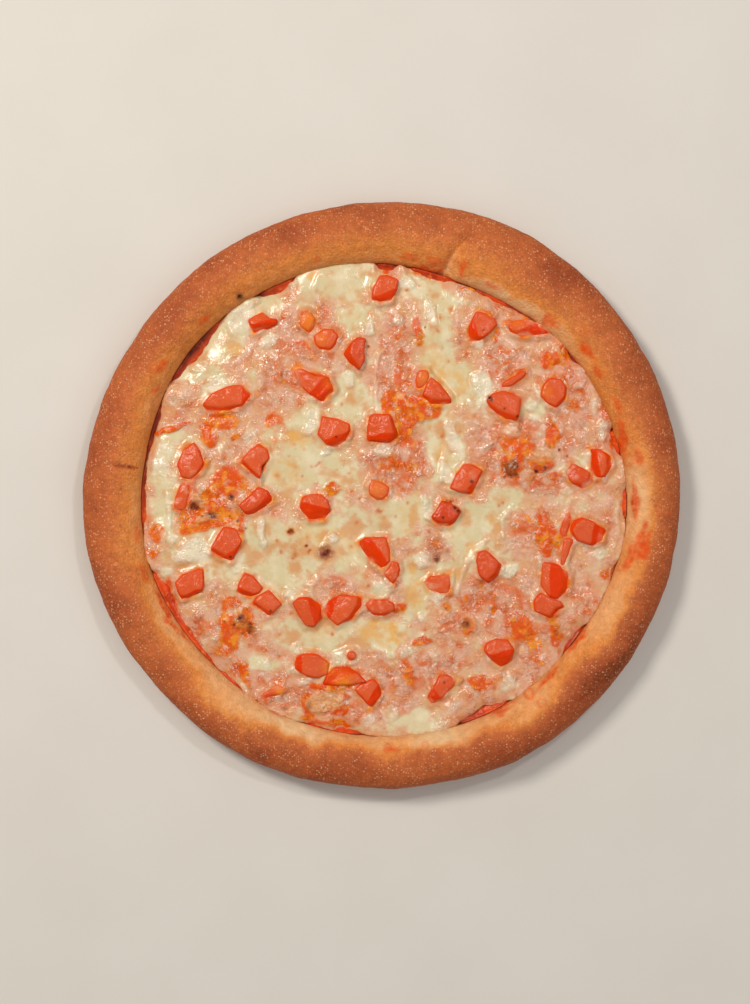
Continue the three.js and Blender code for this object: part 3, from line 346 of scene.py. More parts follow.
# Small toasted bubbles: x, y, width
BUBBLES = (
    (-57.5, 74.5, 2.3), (-40, 91.5, 0.9), (-65.5, 69.5, 1.4), (-61, 68.5, 1.8), (-54, 62, 1.5),
    (-51, 63.5, 2), (-54, 47.5, 2.3), (-38.5, 43, 2.6), (-19, 43, 2), (-15.5, 51, 1.8), (-12, 55.5, 1.2),
    (-41.5, 24, 2), (-37, 21.5, 1.8), (-44, 18.5, 1.5), (-33.5, 13.5, 2), (-31, 14, 1.8), (-29.5, 15.5, 1.7),
    (-49.5, 9, 2.9), (-37.5, 9, 1.8), (-15.5, 10.5, 2), (-14, 2, 1.8), (-21.5, 12, 1.2), (-86, 32.5, 2.6),
    (12, 97, 2.7), (17.5, 99, 2.4), (33, 88, 3.2), (26.5, 78, 3.2), (2.5, 67.5, 3.2), (7.5, 63.5, 3.6),
    (13, 59.5, 2.8), (31.5, 63.5, 2.2), (40.5, 66.5, 3.2), (67.5, 58, 3.2), (44, 37.5, 3.2),
    (46.5, 25.5, 2.8), (28.5, 28, 3.5), (18, 24.5, 3.5), (29, 93, 1.1), (21.5, 95, 0.9), (10, 2.5, 2.7),
    (8.5, 40, 2.2), (43, 29, 2), (51, 30.5, 2.7), (82.5, 9.5, 2.8), (27.5, 84, 1.9), (13.5, 14, 3.2),
    (37, 30, 1.6), (-43, -17, 3.4), (-34.5, -27, 2.6), (-48, -27, 3.4), (-41.5, -29, 5.4),
    (-49.5, -21.5, 2.6), (-35.5, -35.5, 1.5), (-12.5, -9, 2), (-12, -13, 2.3), (-14.5, -24.5, 2.6),
    (-6.5, -43, 3.2), (-7, -38.5, 2.6), (-43, -56, 2.5), (-48.5, -66, 3.1), (-54.5, -73, 3.4),
    (-48.5, -76.5, 2.8), (-23.5, -66, 2.3), (-1.5, -7.5, 4.6), (-35.5, -20, 1.7), (-14.5, 1.5, 2.3),
    (-10.5, -1.5, 2.3), (-62.5, -71, 2.6), (-50.5, -8.5, 4.6), (-36, -45.5, 1.9), (16.5, -18, 2.9),
    (22.5, -17.5, 3.1), (20.5, -64, 3.3), (11, -52, 3.8), (21.5, -53.5, 2.6), (8, -21, 2.1),
    (12.5, -27.5, 2), (36, -70.5, 2.8), (48, -94, 2.8), (12.5, -3.5, 2.1), (57.5, -3.5, 1.8),
    (6.5, -10, 1.6), (95.5, -50, 2.8), (34, -30.5, 2), (45, -47.5, 2.5), (64, -95, 3.3), (18, -45.5, 1.3),
    (55.5, -4.5, 2.5), (48, -106.5, 1.6), (53, -91.5, 2.5),
)

# Specks of char, on cheese and tomato alike: x, y, width
SPECKS = (
    (-6.5, 70.5, 1.5), (-21.5, 27.5, 1.1), (-71.5, -0.5, 1.8), (-40.5, 13.5, 0.8), (58, 8.4, 1.8),
    (60.6, 9.4, 2), (64, 13.5, 1.5), (63.2, 9.6, 1.8), (73, 11.5, 1.6), (77, 13, 1.3), (88, 18.5, 1.4),
    (84, 21.5, 1.1), (79.5, 23, 1.3), (51, 46, 2.2), (52, 45, 1.6), (64, 37.5, 1.3), (58, 41, 0.9),
    (48, 78, 0.9), (42.5, 6.5, 1.9), (20.5, 79.5, 0.9), (81.5, 17.5, 0.8), (-89, -4.5, 2.2), (-88, -6, 1.9),
    (-90, -6, 1.5), (-81, -9, 1.8), (-79.5, -10, 1.5), (-71, -1, 2.3), (-78, -11.5, 1.1), (-72, -10, 1.2),
    (-68, -12, 1.9), (-85, -10, 1.1), (-64.5, -15.5, 0.9), (-66.5, -57.5, 1.9), (-67, -58.5, 1.9),
    (-62, -61, 1.5), (-61.5, -63, 1.9), (-62.5, -64.5, 1.5), (-66, -65.5, 1.4), (-70, -61, 1.2),
    (-74.5, -59.5, 0.9), (-27, -28, 3), (-26, -27, 1.9), (-43, -16.5, 2.2), (-42.5, -17.5, 1.9),
    (-44, -17.5, 1.4), (-71.5, -29, 1.2), (-35.5, -24, 1.2), (-34, -26, 0.9), (-52.5, -54.5, 0.9),
    (34.5, -6, 2), (36, -7.5, 2), (30.5, -2.5, 1.3), (32.5, -3, 1.1), (29, -10.5, 1.6), (40.5, -61, 2),
    (39, -60, 1.5), (26, -30, 1.3), (29.5, -88.5, 1.1),
)

# Ridges where the melting cheese folded over itself: height, then the points it runs through
RIDGES = (
    (0.7, (-5.8, 103.4), (-7.3, 98.1), (-6.5, 91.3)),
    (0.6, (-29.3, 105), (-32.3, 98.1), (-31.5, 92.8), (-28.5, 90.6)),
    (0.8, (-1.2, 67.1), (-2.8, 58.8), (-3.1, 49.7), (-2.4, 41.3)),
    (0.6, (-73.9, 24.7), (-76.6, 20.1), (-75.5, 14.1)),
    (0.5, (-90.6, 62.5), (-84.5, 63.3), (-83, 59.5), (-87.6, 55.7)),
    (0.5, (-105, 24.7), (-108, 17.9), (-108, 9.5)), (0.5, (-99.7, 2.7), (-97.4, 10.3)),
    (0.4, (-69.4, 58.8), (-68.6, 53.5)), (0.4, (-48.9, 64.8), (-48.2, 55.7)),
    (0.7, (54.3, 25.9), (48, 22.8), (45.6, 18)), (0.6, (30.7, 25.9), (29.9, 17.3), (28.3, 7)),
    (0.5, (64.5, 60.6), (61.4, 54.3)), (0.5, (85, 36.2), (85.8, 25.9)),
    (0.6, (104.7, 37.7), (103.9, 26.7), (107.1, 19.6)),
    (0.7, (-29.8, -39.2), (-33.7, -43.1), (-33.3, -46.9)),
    (0.6, (-22.9, -18.3), (-26.8, -21.4), (-27.5, -23.7)),
    (0.7, (-100.9, 0.2), (-101.3, -12.9), (-100.2, -20.7)), (0.9, (-56.1, -12.2), (-57.3, -23)),
    (1.0, (61.3, -5.7), (56.8, -12.2), (57.7, -19.6)),
    (0.9, (49.9, -21.2), (42.5, -27.7), (38.4, -36.7), (35.2, -46.6)), (0.8, (75.2, -27.7), (74.4, -36.7)),
    (0.8, (74.4, -44.1), (71.2, -46.6), (71.2, -49.8)),
    (0.6, (113, -2.4), (111.5, -8.9), (112, -17.9), (109.2, -26.1)),
    (0.6, (52.3, -67.8), (47.4, -67), (45.8, -71.9)), (0.6, (22.1, -92.4), (21.3, -86.6)),
)

# Ridges that close on themselves round a sunk bubble: x, y, radius, height
RING_RIDGES = ((-69, 62.5, 3.8, 0.5), (-14.4, -75.5, 4.4, 0.6), (89.5, 12.5, 4.5, 0.4))


# ---- Small helpers ----


def linear(colour: str) -> tuple[float, float, float, float]:
    """Turn an sRGB hex colour to the linear colour that shaders take.

    Args:
        colour: Six hex digits after a hash.

    Returns:
        Red, green, blue and an alpha of 1.
    """
    channels = [int(colour[start:start + 2], 16) / 255 for start in (1, 3, 5)]
    red, green, blue = (c / 12.92 if c <= 0.04045 else ((c + 0.055) / 1.055) ** 2.4 for c in channels)
    return red, green, blue, 1.0


def smooth(values: np.ndarray, low: float, high: float) -> np.ndarray:
    """Rise smoothly from 0 at low to 1 at high."""
    share = np.clip((values - low) / (high - low), 0, 1)
    return share * share * (3 - 2 * share)


def hump(distance: np.ndarray, spread: float) -> np.ndarray:
    """A rounded hump, 1 at its middle."""
    return np.exp(-((distance / spread) ** 2))


def union(first: np.ndarray, second: np.ndarray) -> np.ndarray:
    """Join two coverages, each 0 to 1, so that neither passes 1."""
    return 1 - (1 - first) * (1 - second)


def turn_between(start: float, end: np.ndarray) -> np.ndarray:
    """Shortest way round from one turn to others, -180 to 180."""
    return (end - start + 540) % 360 - 180


def heading_of(turn: np.ndarray) -> np.ndarray:
    """The way each turn points, one row each."""
    angle = np.radians(turn)
    return np.column_stack([np.cos(angle), np.sin(angle)])


def distance_from(x: float, y: float, points: np.ndarray) -> np.ndarray:
    """How far each place lies from a spot, seen from above."""
    return np.hypot(points[:, 0] - x, points[:, 1] - y)


def at_height(plan: np.ndarray, height: float) -> np.ndarray:
    """The same places, seen from above, at one height."""
    return np.column_stack([plan[:, :2], np.full(len(plan), height)])


class Grain:
    """Seeded unevenness in space, the same for relief and for colour."""

    def __init__(self, seed: int) -> None:
        """Draw the lattice of slopes that the noise is made from.

        Args:
            seed: Where its random numbers start.
        """
        random = np.random.default_rng(seed)
        self.order = np.tile(random.permutation(256), 4)
        slopes = random.normal(size=(256, 3))
        self.slopes = slopes / np.linalg.norm(slopes, axis=1, keepdims=True)
        self.spots = random.uniform(0.15, 0.85, size=(256, 3))

    def _entry(self, lattice: np.ndarray) -> np.ndarray:
        """The lattice's own number at whole-number corners."""
        x, y, z = (lattice[:, axis] & 255 for axis in range(3))
        return self.order[self.order[self.order[x] + y] + z]

    def soft(self, points: np.ndarray, size: float) -> np.ndarray:
        """Smooth noise.

        Args:
            points: Places, one row each, in millimetres.
            size: Distance from one rise to the next.

        Returns:
            One value for each place, about -1 to 1.
        """
        scaled = points / size
        corner = np.floor(scaled).astype(int)
        offset = scaled - corner
        fade = offset**3 * (offset * (offset * 6 - 15) + 10)
        total = np.zeros(len(points))
        for step in itertools.product((0, 1), repeat=3):
            slope = self.slopes[self._entry(corner + step)]
            push = np.einsum("ij,ij->i", slope, offset - step)
            total += np.prod(np.where(step, fade, 1 - fade), axis=1) * push
        return total * 1.7

    def layers(self, points: np.ndarray, *layers: tuple[float, float]) -> np.ndarray:
        """Smooth noise in layers, each with its strength and size."""
        return sum(strength * self.soft(points, size) for strength, size in layers)

    def curds(self, points: np.ndarray, size: float) -> np.ndarray:
        """Round lumps lying side by side, seen from above.

        Args:
            points: Places, one row each, in millimetres.
            size: Distance from one lump to the next.

        Returns:
            1 on top of a lump, 0 in the creases between them.
        """
        scaled = points / size
        corner = np.floor(scaled).astype(int)
        nearest = np.full(len(points), 9.0)
        for step in itertools.product((-1, 0, 1), repeat=3):
            cell = corner + step
            spot = cell + self.spots[self._entry(cell)]
            nearest = np.minimum(nearest, np.sum((scaled - spot) ** 2, axis=1))
        return np.clip(1 - nearest * 1.6, 0, 1)


# ---- Outlines that the pieces share ----


def waves_at(turn: np.ndarray, waves: tuple[tuple[float, float, float], ...]) -> np.ndarray:
    """The sum of an outline's waves at each turn."""
    return sum(size * np.cos(np.radians(count * (turn - crest))) for count, size, crest in waves)


def outer_radius(turn: np.ndarray) -> np.ndarray:
    """Radius of the crust's outside."""
    return OUTER_RADIUS + waves_at(turn, OUTER_WAVES)


def inner_radius(turn: np.ndarray) -> np.ndarray:
    """Radius of the foot of the rim's inner wall."""
    return INNER_RADIUS + waves_at(turn, INNER_WAVES)


def clearance(turn: np.ndarray) -> np.ndarray:
    """How far the cheese stops short of the crust's wall.

    Args:
        turn: Turns round the pizza.

    Returns:
        One distance for each turn.
    """
    total = np.full(np.shape(turn), CHEESE_CLEARANCE)
    for stretch, spread, width in OPEN_STRETCHES:
        total += width * hump(turn_between(stretch, turn), spread)
    return total


def outline_middle() -> np.ndarray:
    """Where the outlines' own centre lies in the frame, whose origin is the middle of the box.

    Returns:
        Its x and y, and a z of 0.
    """
    turns = np.linspace(0, 360, 1440, endpoint=False)
    outline = heading_of(turns) * outer_radius(turns)[:, None]
    low, high = (np.array(corner[:2]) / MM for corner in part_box("crust"))
    return np.append((low + high - outline.min(axis=0) - outline.max(axis=0)) / 2, 0)


# ---- Meshes ----


def deselect() -> None:
    """Leave object mode's selection empty, so that an operator meets only what comes next."""
    bpy.ops.object.select_all(action="DESELECT")


def pick(piece: bpy.types.Object) -> None:
    """Select one object alone and make it the active one.

    Args:
        piece: The object.
    """
    deselect()
    piece.select_set(True)
    bpy.context.view_layer.objects.active = piece


def add_sheet(name: str, columns: int, rows: int) -> bpy.types.Object:
    """Add a flat sheet of quads, one unit a side, to be formed into a piece.

    Args:
        name: The piece's name.
        columns: Faces along X.
        rows: Faces along Y.

    Returns:
        The new object, selected and active.
    """
    deselect()
    bpy.ops.mesh.primitive_grid_add(x_subdivisions=columns, y_subdivisions=rows, size=1)
    piece = bpy.context.object
    piece.name = name
    piece.data.name = name
    return piece


def read(items: object, name: str, kind: type = float, width: int = 1) -> np.ndarray:
    """Read one property of all of a mesh's vertices, corners, faces or kept numbers.

    Args:
        items: The vertices, corners, faces or numbers.
        name: The property.
        kind: What its values are.
        width: How many values each item has.

    Returns:
        One value for each item, or one row of that width.
    """
    values = np.empty(width * len(items), dtype=kind)
    items.foreach_get(name, values)
    return values if width == 1 else values.reshape(-1, width)


def places(piece: bpy.types.Object) -> np.ndarray:
    """Every vertex of a piece, one row each, in millimetres."""
    return read(piece.data.vertices, "co", width=3) / MM


def put(piece: bpy.types.Object, points: np.ndarray) -> None:
    """Move every vertex of a piece to its place, given in millimetres."""
    piece.data.vertices.foreach_set("co", (points * MM).ravel())
    piece.data.update()


def note(piece: bpy.types.Object, numbers: dict[str, np.ndarray]) -> None:
    """Keep numbers for each vertex of a piece, for its finish to read.

    Args:
        piece: The piece.
        numbers: One number a vertex, by name.
    """
    for name, values in numbers.items():
        layer = piece.data.attributes.new(name, "FLOAT", "POINT")
        layer.data.foreach_set("value", np.ascontiguousarray(values, dtype=np.float32))


def roll_up(piece: bpy.types.Object, columns: int, rows: int) -> tuple[np.ndarray, np.ndarray]:
    """Which step round the pizza and which ring each vertex of a flat sheet becomes.

    Args:
        piece: The sheet.
        columns: Its faces along X.
        rows: Its faces along Y.

    Returns:
        Step and ring of each vertex.
    """
    flat = places(piece) * MM
    column = np.rint((flat[:, 0] + 0.5) * columns).astype(int) % columns
    return column, np.rint((flat[:, 1] + 0.5) * rows).astype(int)


def face_corners(piece: bpy.types.Object) -> tuple[np.ndarray, np.ndarray, np.ndarray]:
    """How a piece's faces are put together.

    Args:
        piece: The piece.

    Returns:
        The vertex of each corner, and for each face its first corner and how many it has.
    """
    faces = piece.data.polygons
    corners = read(piece.data.loops, "vertex_index", int)
    return corners, read(faces, "loop_start", int), read(faces, "loop_total", int)


def lay_map(piece: bpy.types.Object, spread: np.ndarray) -> None:
    """Give a piece its flat map, one row a corner."""
    piece.data.uv_layers.new(name="OFBake").data.foreach_set("uv", spread.ravel())


def close_up(piece: bpy.types.Object) -> None:
    """Merge a piece's seam, close each open loop with a fan and turn the faces outwards.

    Args:
        piece: The piece, formed from a flat sheet.
    """
    pick(piece)
    bpy.ops.object.mode_set(mode="EDIT")
    bpy.ops.mesh.select_all(action="SELECT")
    bpy.ops.mesh.remove_doubles(threshold=1e-7)
    bpy.ops.mesh.select_all(action="DESELECT")
    bpy.ops.mesh.select_non_manifold(extend=False, use_wire=False, use_multi_face=False,
                                     use_non_contiguous=False, use_verts=False)
    bpy.ops.mesh.extrude_edges_move()
    bpy.ops.mesh.merge(type="COLLAPSE")
    bpy.ops.mesh.select_all(action="SELECT")
    bpy.ops.mesh.normals_make_consistent(inside=False)
    bpy.ops.object.mode_set(mode="OBJECT")
    bpy.ops.object.shade_smooth()


# ---- Shader nodes ----


class Shade:
    """A number or a colour in a finish's node tree. What is worked out from it adds nodes to the tree."""

    def __init__(self, socket: bpy.types.NodeSocket) -> None:
        """Take one output of a node."""
        self.socket = socket

    def _math(self, operation: str, *others: Shade | float) -> Shade:
        """Add a Math node on it."""
        inputs = dict(enumerate((self, *others)))
        return add_node(self.socket.id_data, "Math", {"operation": operation}, inputs)

    def __add__(self, other: Shade | float) -> Shade:
        """The sum."""
        return self._math("ADD", other)

    def __mul__(self, other: Shade | float) -> Shade:
        """The product."""
        return self._math("MULTIPLY", other)

    def __pow__(self, power: float) -> Shade:
        """The power."""
        return self._math("POWER", power)

    def most(self, other: Shade) -> Shade:
        """The larger of the two."""
        return self._math("MAXIMUM", other)

    def off(self, middle: float) -> Shade:
        """How far it is from a middle value."""
        return self._math("SUBTRACT", middle)._math("ABSOLUTE")

    def about_zero(self, size: float) -> Shade:
        """Centre a 0 to 1 value on zero and scale it."""
        return self._math("SUBTRACT", 0.5) * size

    def clipped(self) -> Shade:
        """Keep the sum or product within 0 and 1."""
        self.socket.node.use_clamp = True
        return self

    def ranged(self, low: float, high: float, first: Shade | float = 0.0, last: float = 1.0,
               kind: str = "LINEAR") -> Shade:
        """Go straight from a first value where it is low to a last one where it is high."""
        return add_node(self.socket.id_data, "MapRange", {"interpolation_type": kind},
                        {0: self, 1: low, 2: high, 3: first, 4: last})

    def band(self, low: float, high: float, first: float = 0.0, last: float = 1.0) -> Shade:
        """Go smoothly from a first value where it is low to a last one where it is high."""
        return self.ranged(low, high, first, last, "SMOOTHSTEP")

    def blend(self, first: Shade | str, second: Shade | str) -> Shade:
        """Two colours, the second in this share."""
        return add_node(self.socket.id_data, "Mix", {"data_type": "RGBA"}, {0: self, 6: first, 7: second}, 2)

    def coat(self, share: Shade, colour: Shade | str) -> Shade:
        """This colour with a share of another laid over it."""
        return share.blend(self, colour)

    def lit(self, value: Shade) -> Shade:
        """This colour made lighter or darker."""
        return add_node(self.socket.id_data, "HueSaturation", {}, {"Value": value, "Color": self})


def fill(node: bpy.types.Node, inputs: dict[object, object]) -> None:
    """Give inputs a value, a hex colour or the shade that feeds them.

    Args:
        node: The node they belong to.
        inputs: What each input gets, by name or index.
    """
    for key, value in inputs.items():
        if isinstance(value, Shade):
            node.id_data.links.new(value.socket, node.inputs[key])
        else:
            node.inputs[key].default_value = linear(value) if isinstance(value, str) else value


def add_node(tree: bpy.types.NodeTree, kind: str, settings: dict[str, object],
             inputs: dict[object, object], output: int | str = 0) -> Shade:
    """Add a shader node.

    Args:
        tree: The node tree to add to.
        kind: The node's type name, without what all have in front.
        settings: Properties of the node itself.
        inputs: What its inputs get, as fill takes it.
        output: The output that counts, by name or index.

    Returns:
        That output.
    """
    added = tree.nodes.new("ShaderNode" + kind)
    for key, value in settings.items():
        setattr(added, key, value)
    fill(added, inputs)
    return Shade(added.outputs[output])


@dataclass(frozen=True)
class Gloss:
    """How a surface takes light."""

    roughness: float
    specular: float
    depth: float  # share of the light that goes in
    reach: tuple[float, float, float]  # how far its red, green and blue go in
    bump: float  # height of the fine relief
    bump_strength: float = 1.0


class Surface:
    """One material, and what its colours are worked out from."""

    def __init__(self, name: str) -> None:
        """Start the material with its shader and output.

        Args:
            name: The material's name.
        """
        self.material = bpy.data.materials.new(name)
        self.material.use_nodes = True
        self.tree = self.material.node_tree

    def where(self) -> Shade:
        """Places in the piece's own space."""
        return add_node(self.tree, "TexCoord", {}, {}, "Object")

    def attribute(self, name: str) -> Shade:
        """Read a number kept on the piece's vertices."""
        return add_node(self.tree, "Attribute", {"attribute_name": name}, {}, "Fac")

    def patchy(self, name: str, *uneven: Shade) -> Shade:
        """Read such a number and let noise about zero break up its edges."""
        kept = self.attribute(name)
        return (sum(uneven, kept) * kept).clipped()

    def noise(self, size: float, detail: float, distortion: float = 0.0, output: int | str = 0) -> Shade:
        """Smooth noise, about 0.25 to 0.75.

        Args:
            size: Distance between rises, in millimetres.
            detail: How many finer octaves lie on it.
            distortion: How far it swirls.
            output: The node's output, by name or index.

        Returns:
            The noise.
        """
        return add_node(self.tree, "TexNoise", {}, {
            "Vector": self.where(), "Scale": 1 / (size * MM), "Detail": detail, "Roughness": 0.5,
            "Distortion": distortion,
        }, output)

    def curds(self, spacing: float, low: float, high: float) -> Shade:
        """Round lumps side by side.

        Args:
            spacing: Distance between lumps, in millimetres.
            low: How far from its middle a lump starts to fall away.
            high: How far from its middle it ends.

        Returns:
            1 on top of each lump, 0 in the creases.
        """
        bent = add_node(self.tree, "VectorMath", {"operation": "MULTIPLY_ADD"},
                        {0: self.noise(3, 1.0, output="Color"), 1: (2.2 * MM,) * 3, 2: self.where()})
        cells = add_node(self.tree, "TexVoronoi", {"feature": "SMOOTH_F1"},
                         {"Vector": bent, "Scale": 1 / (spacing * MM), "Smoothness": 0.35}, "Distance")
        return cells.band(low, high, 1.0, 0.0)

    def close(self, colour: Shade, gloss: Gloss, height: Shade, linked: dict[str, Shade] | None = None
              ) -> bpy.types.Material:
        """Give the shader its inputs.

        Args:
            colour: The finished colour.
            gloss: How the surface takes light.
            height: Its fine relief.
            linked: Inputs that differ from place to place. Their plain values stay, for the export.

        Returns:
            The material.
        """
        bump = add_node(self.tree, "Bump", {}, {"Strength": gloss.bump_strength, "Distance": gloss.bump * MM,
                                                "Height": height})
        shader = self.tree.nodes["Principled BSDF"]
        fill(shader, {
            "Base Color": colour, "Roughness": gloss.roughness, "Specular IOR Level": gloss.specular,
            "Subsurface Weight": gloss.depth, "Subsurface Radius": [side * MM for side in gloss.reach],
            "Normal": bump,
        })
        fill(shader, linked or {})
        return self.material


# ---- Finishes ----


@dataclass(frozen=True)
class BakedDough:
    """Wheat dough, hand-pressed and oven-baked: matt, blistered, from cream through orange to brown."""

    raw: str = "#ecac70"
    golden: str = "#e0883c"
    browned: str = "#c46631"
    dark: str = "#a24a22"
    darkest: str = "#7c3612"
    # Pale specks: flour, and painted highlights on tiny blisters
    speckle: str = "#f0b888"
    flour: str = "#e4bf8e"
    stain: str = "#dc4f0c"
    char: str = "#2a120a"
    speckle_spacing: float = 1.05
    gloss: Gloss = Gloss(0.66, 0.22, 0.06, (1.5, 0.8, 0.4), 0.6)

    def _bake(self, bake: Shade) -> Shade:
        """The dough's own colour, by how far it has baked.

        Args:
            bake: How far, from 0 to 1.

        Returns:
            The colour.
        """
        ramp = add_node(bake.socket.id_data, "ValToRGB", {}, {0: bake})
        elements = ramp.socket.node.color_ramp.elements
        elements[0].color = linear(self.raw)
        elements[1].color = linear(self.darkest)
        for position, colour in ((0.28, self.golden), (0.5, self.browned), (0.85, self.dark)):
            elements.new(position).color = linear(colour)
        return ramp

    def _speckles(self, surface: Surface) -> Shade:
        """Flecks of flour, and pale dots painted as the highlights of tiny blisters, drawn a little coarser
        than they are.

        Args:
            surface: The crust's material.

        Returns:
            How far they cover each place.
        """
        inputs = {"Vector": surface.where(), "Scale": 1 / (self.speckle_spacing * MM), "Randomness": 1.0}
        cells = add_node(surface.tree, "TexVoronoi", {}, inputs, "Distance")
        cell_colour = Shade(cells.socket.node.outputs["Color"])
        chance = add_node(surface.tree, "SeparateColor", {}, {0: cell_colour})
        crowded = surface.noise(7, 3).ranged(0.38, 0.62, 0.5, 1.4)
        return (cells.band(0.18, 0.52, 1.0, 0.0) * chance ** 2.2 * crowded).clipped()

    def make(self) -> bpy.types.Material:
        """Build the crust's material.

        Returns:
            The material.
        """
        surface = Surface("baked_dough")
        noise, attribute = surface.noise, surface.attribute
        bake = attribute("bake") + noise(7, 4).about_zero(0.16) + noise(1.5, 2).about_zero(0.3)
        browned = bake.ranged(0.1, 0.6, 0.3, 0.72)
        speckles = self._speckles(surface)
        # Pale specks on the browned crust: flour, and painted highlights on tiny blisters
        colour = self._bake(bake).coat(speckles * browned, self.speckle)
        colour = colour.coat(noise(0.9, 2).band(0.48, 0.64) * 0.5 * browned, self.dark)
        colour = colour.coat(noise(5, 4).band(0.42, 0.66) * 0.18 * browned, self.darkest)
        colour = colour.coat(surface.patchy("flour", noise(3.5, 4).about_zero(0.9)), self.flour)
        colour = colour.coat((attribute("stain") * noise(2.2, 3) * 1.8).clipped(), self.stain)
        colour = colour.coat(attribute("char"), self.char).lit(noise(3.6, 5).about_zero(0.55) + 1.0)
        return surface.close(colour, self.gloss, noise(1.1, 3) + speckles * 0.1)


@dataclass(frozen=True)
class MeltedMozzarella:
    """Melted low-moisture mozzarella: fatty and wet, cream where smooth, pink and curdled over sauce."""

    cream: str = "#d6c496"
    milky: str = "#e2d3ac"
    tan: str = "#d48c48"
    yellow: str = "#e2a850"
    # White of thick milky cheese and of painted sheen
    white_and_sheen: str = "#eedfc4"
    blush: str = "#da9c6c"
    film: str = "#dba98a"
    # Near white of the painted glints on the curdled cheese
    glint_white: str = "#f4e8d8"
    pink: str = "#d28860"
    juice: str = "#d86010"
    orange: str = "#de5e00"
    amber: str = "#ea8c1c"
    tomato: str = "#dc5000"
    baked: str = "#dc9052"
    granule: str = "#e6b07c"
    brown: str = "#8a3a0a"
    char: str = "#2e1206"
    curd_spacing: float = 2.7
    fleck_spacing: float = 1.6
    glint_spacing: float = 1.8
    gloss: Gloss = Gloss(0.5, 0.5, 0.25, (3, 1.6, 0.8), 0.45)

    def make(self) -> bpy.types.Material:
        """Build the cheese's material.

        Returns:
            The material.
        """
        surface = Surface("melted_mozzarella")
        noise, patchy, curds = surface.noise, surface.patchy, surface.curds
        kept = {tone: surface.attribute(tone.value) for tone in (Tone.YELLOW, Tone.PINK, Tone.PIECE)}
        curd = surface.attribute("curd")
        fine, coarse = noise(1.3, 3), noise(4.5, 3)

        # Smooth cheese, milky in places
        colour = noise(11, 4).band(0.42, 0.66).blend(self.cream, self.milky)
        colour = colour.coat(noise(8.5, 4).band(0.45, 0.65) * 0.75, self.tan)
        colour = colour.coat(kept[Tone.YELLOW] * coarse.band(0.3, 0.7), self.yellow)

        # Sauce has soaked in: a blush first, then pale lumps with juice in their creases, filmed in places
        lump = curds(self.curd_spacing, 0.1, 0.75)
        soaked = kept[Tone.PINK] + fine.about_zero(0.15) + coarse.about_zero(0.4)
        thick = (lump * 0.2 + noise(4.5, 1.5).about_zero(3.2) + 0.3).clipped()
        filmed = noise(6.5, 2).band(0.44, 0.6) * soaked.band(0.1, 0.5)
        colour = colour.coat(soaked.band(0.12, 0.6), self.blush)
        colour = colour.coat(soaked.band(0.5, 1.0), thick.blend(self.juice, self.pink))
        colour = colour.coat(filmed * 0.7, self.film)

        # Oil, tomato just under the surface, dry and milky tops, toast and char
        oil = patchy(Tone.ORANGE.value, fine.about_zero(0.4))
        under = coarse.band(0.5, 0.66).blend(self.tomato, self.amber)
        under = under.coat(noise(2.6, 2).band(0.52, 0.66) * 0.35, self.film)
        dry = patchy(Tone.BAKED.value, coarse.about_zero(0.8))
        white_and_sheen = patchy(Tone.WHITE.value, fine.about_zero(0.5), coarse.about_zero(1.2))
        char = patchy(Tone.BURNT.value, fine.about_zero(1.2))
        colour = colour.coat(oil, coarse.band(0.42, 0.65).blend(self.orange, self.amber))
        colour = colour.coat(kept[Tone.PIECE], under)
        colour = colour.coat(dry, fine.band(0.4, 0.62).blend(self.baked, self.granule))
        # Thick milky cheese, and painted sheen where highlights and glints lie
        colour = colour.coat(white_and_sheen * 0.65, self.white_and_sheen)
        colour = colour.coat(patchy(Tone.BROWN.value, fine.about_zero(1.4)), self.brown).coat(char, self.char)

        # Painted glints: pale flecks on thin folds of skin and on small lumps, where highlights would catch
        # the light
        folds = noise(3.4, 1.0, 1.4).off(0.5).band(0.0, 0.08, 1.0, 0.0)
        painted_glints = curds(self.glint_spacing, 0.04, 0.22) * noise(3.1, 2).band(0.46, 0.6) * 0.6
        painted_glints = painted_glints.most(folds * noise(5.2, 3).band(0.5, 0.62)) * curd.band(0.1, 0.7)
        colour = colour.coat(painted_glints * 0.5, self.glint_white)
        # Fine random lightening and darkening on the curds: painted light and shade standing in for the
        # shading of their small lumps
        colour = colour.lit(noise(1.7, 4).about_zero(0.8) * curd.ranged(0, 1, 0.1, 0.7) + 1.0)

        fleck = curds(self.fleck_spacing, 0.12, 0.5)
        lumpy = lump * 0.8 + fleck * 0.25 + folds * 0.45 + noise(0.9, 2) * 0.5
        return surface.close(colour, self.gloss, lumpy * curd + coarse * 0.25, {
            "Roughness": char.most(dry * 0.6).ranged(0, 1, curd.ranged(0, 1, 0.25, 0.13), 0.6),
            "Specular IOR Level": oil.most(kept[Tone.PIECE]).ranged(0, 1, 0.6, 0.2),
        })


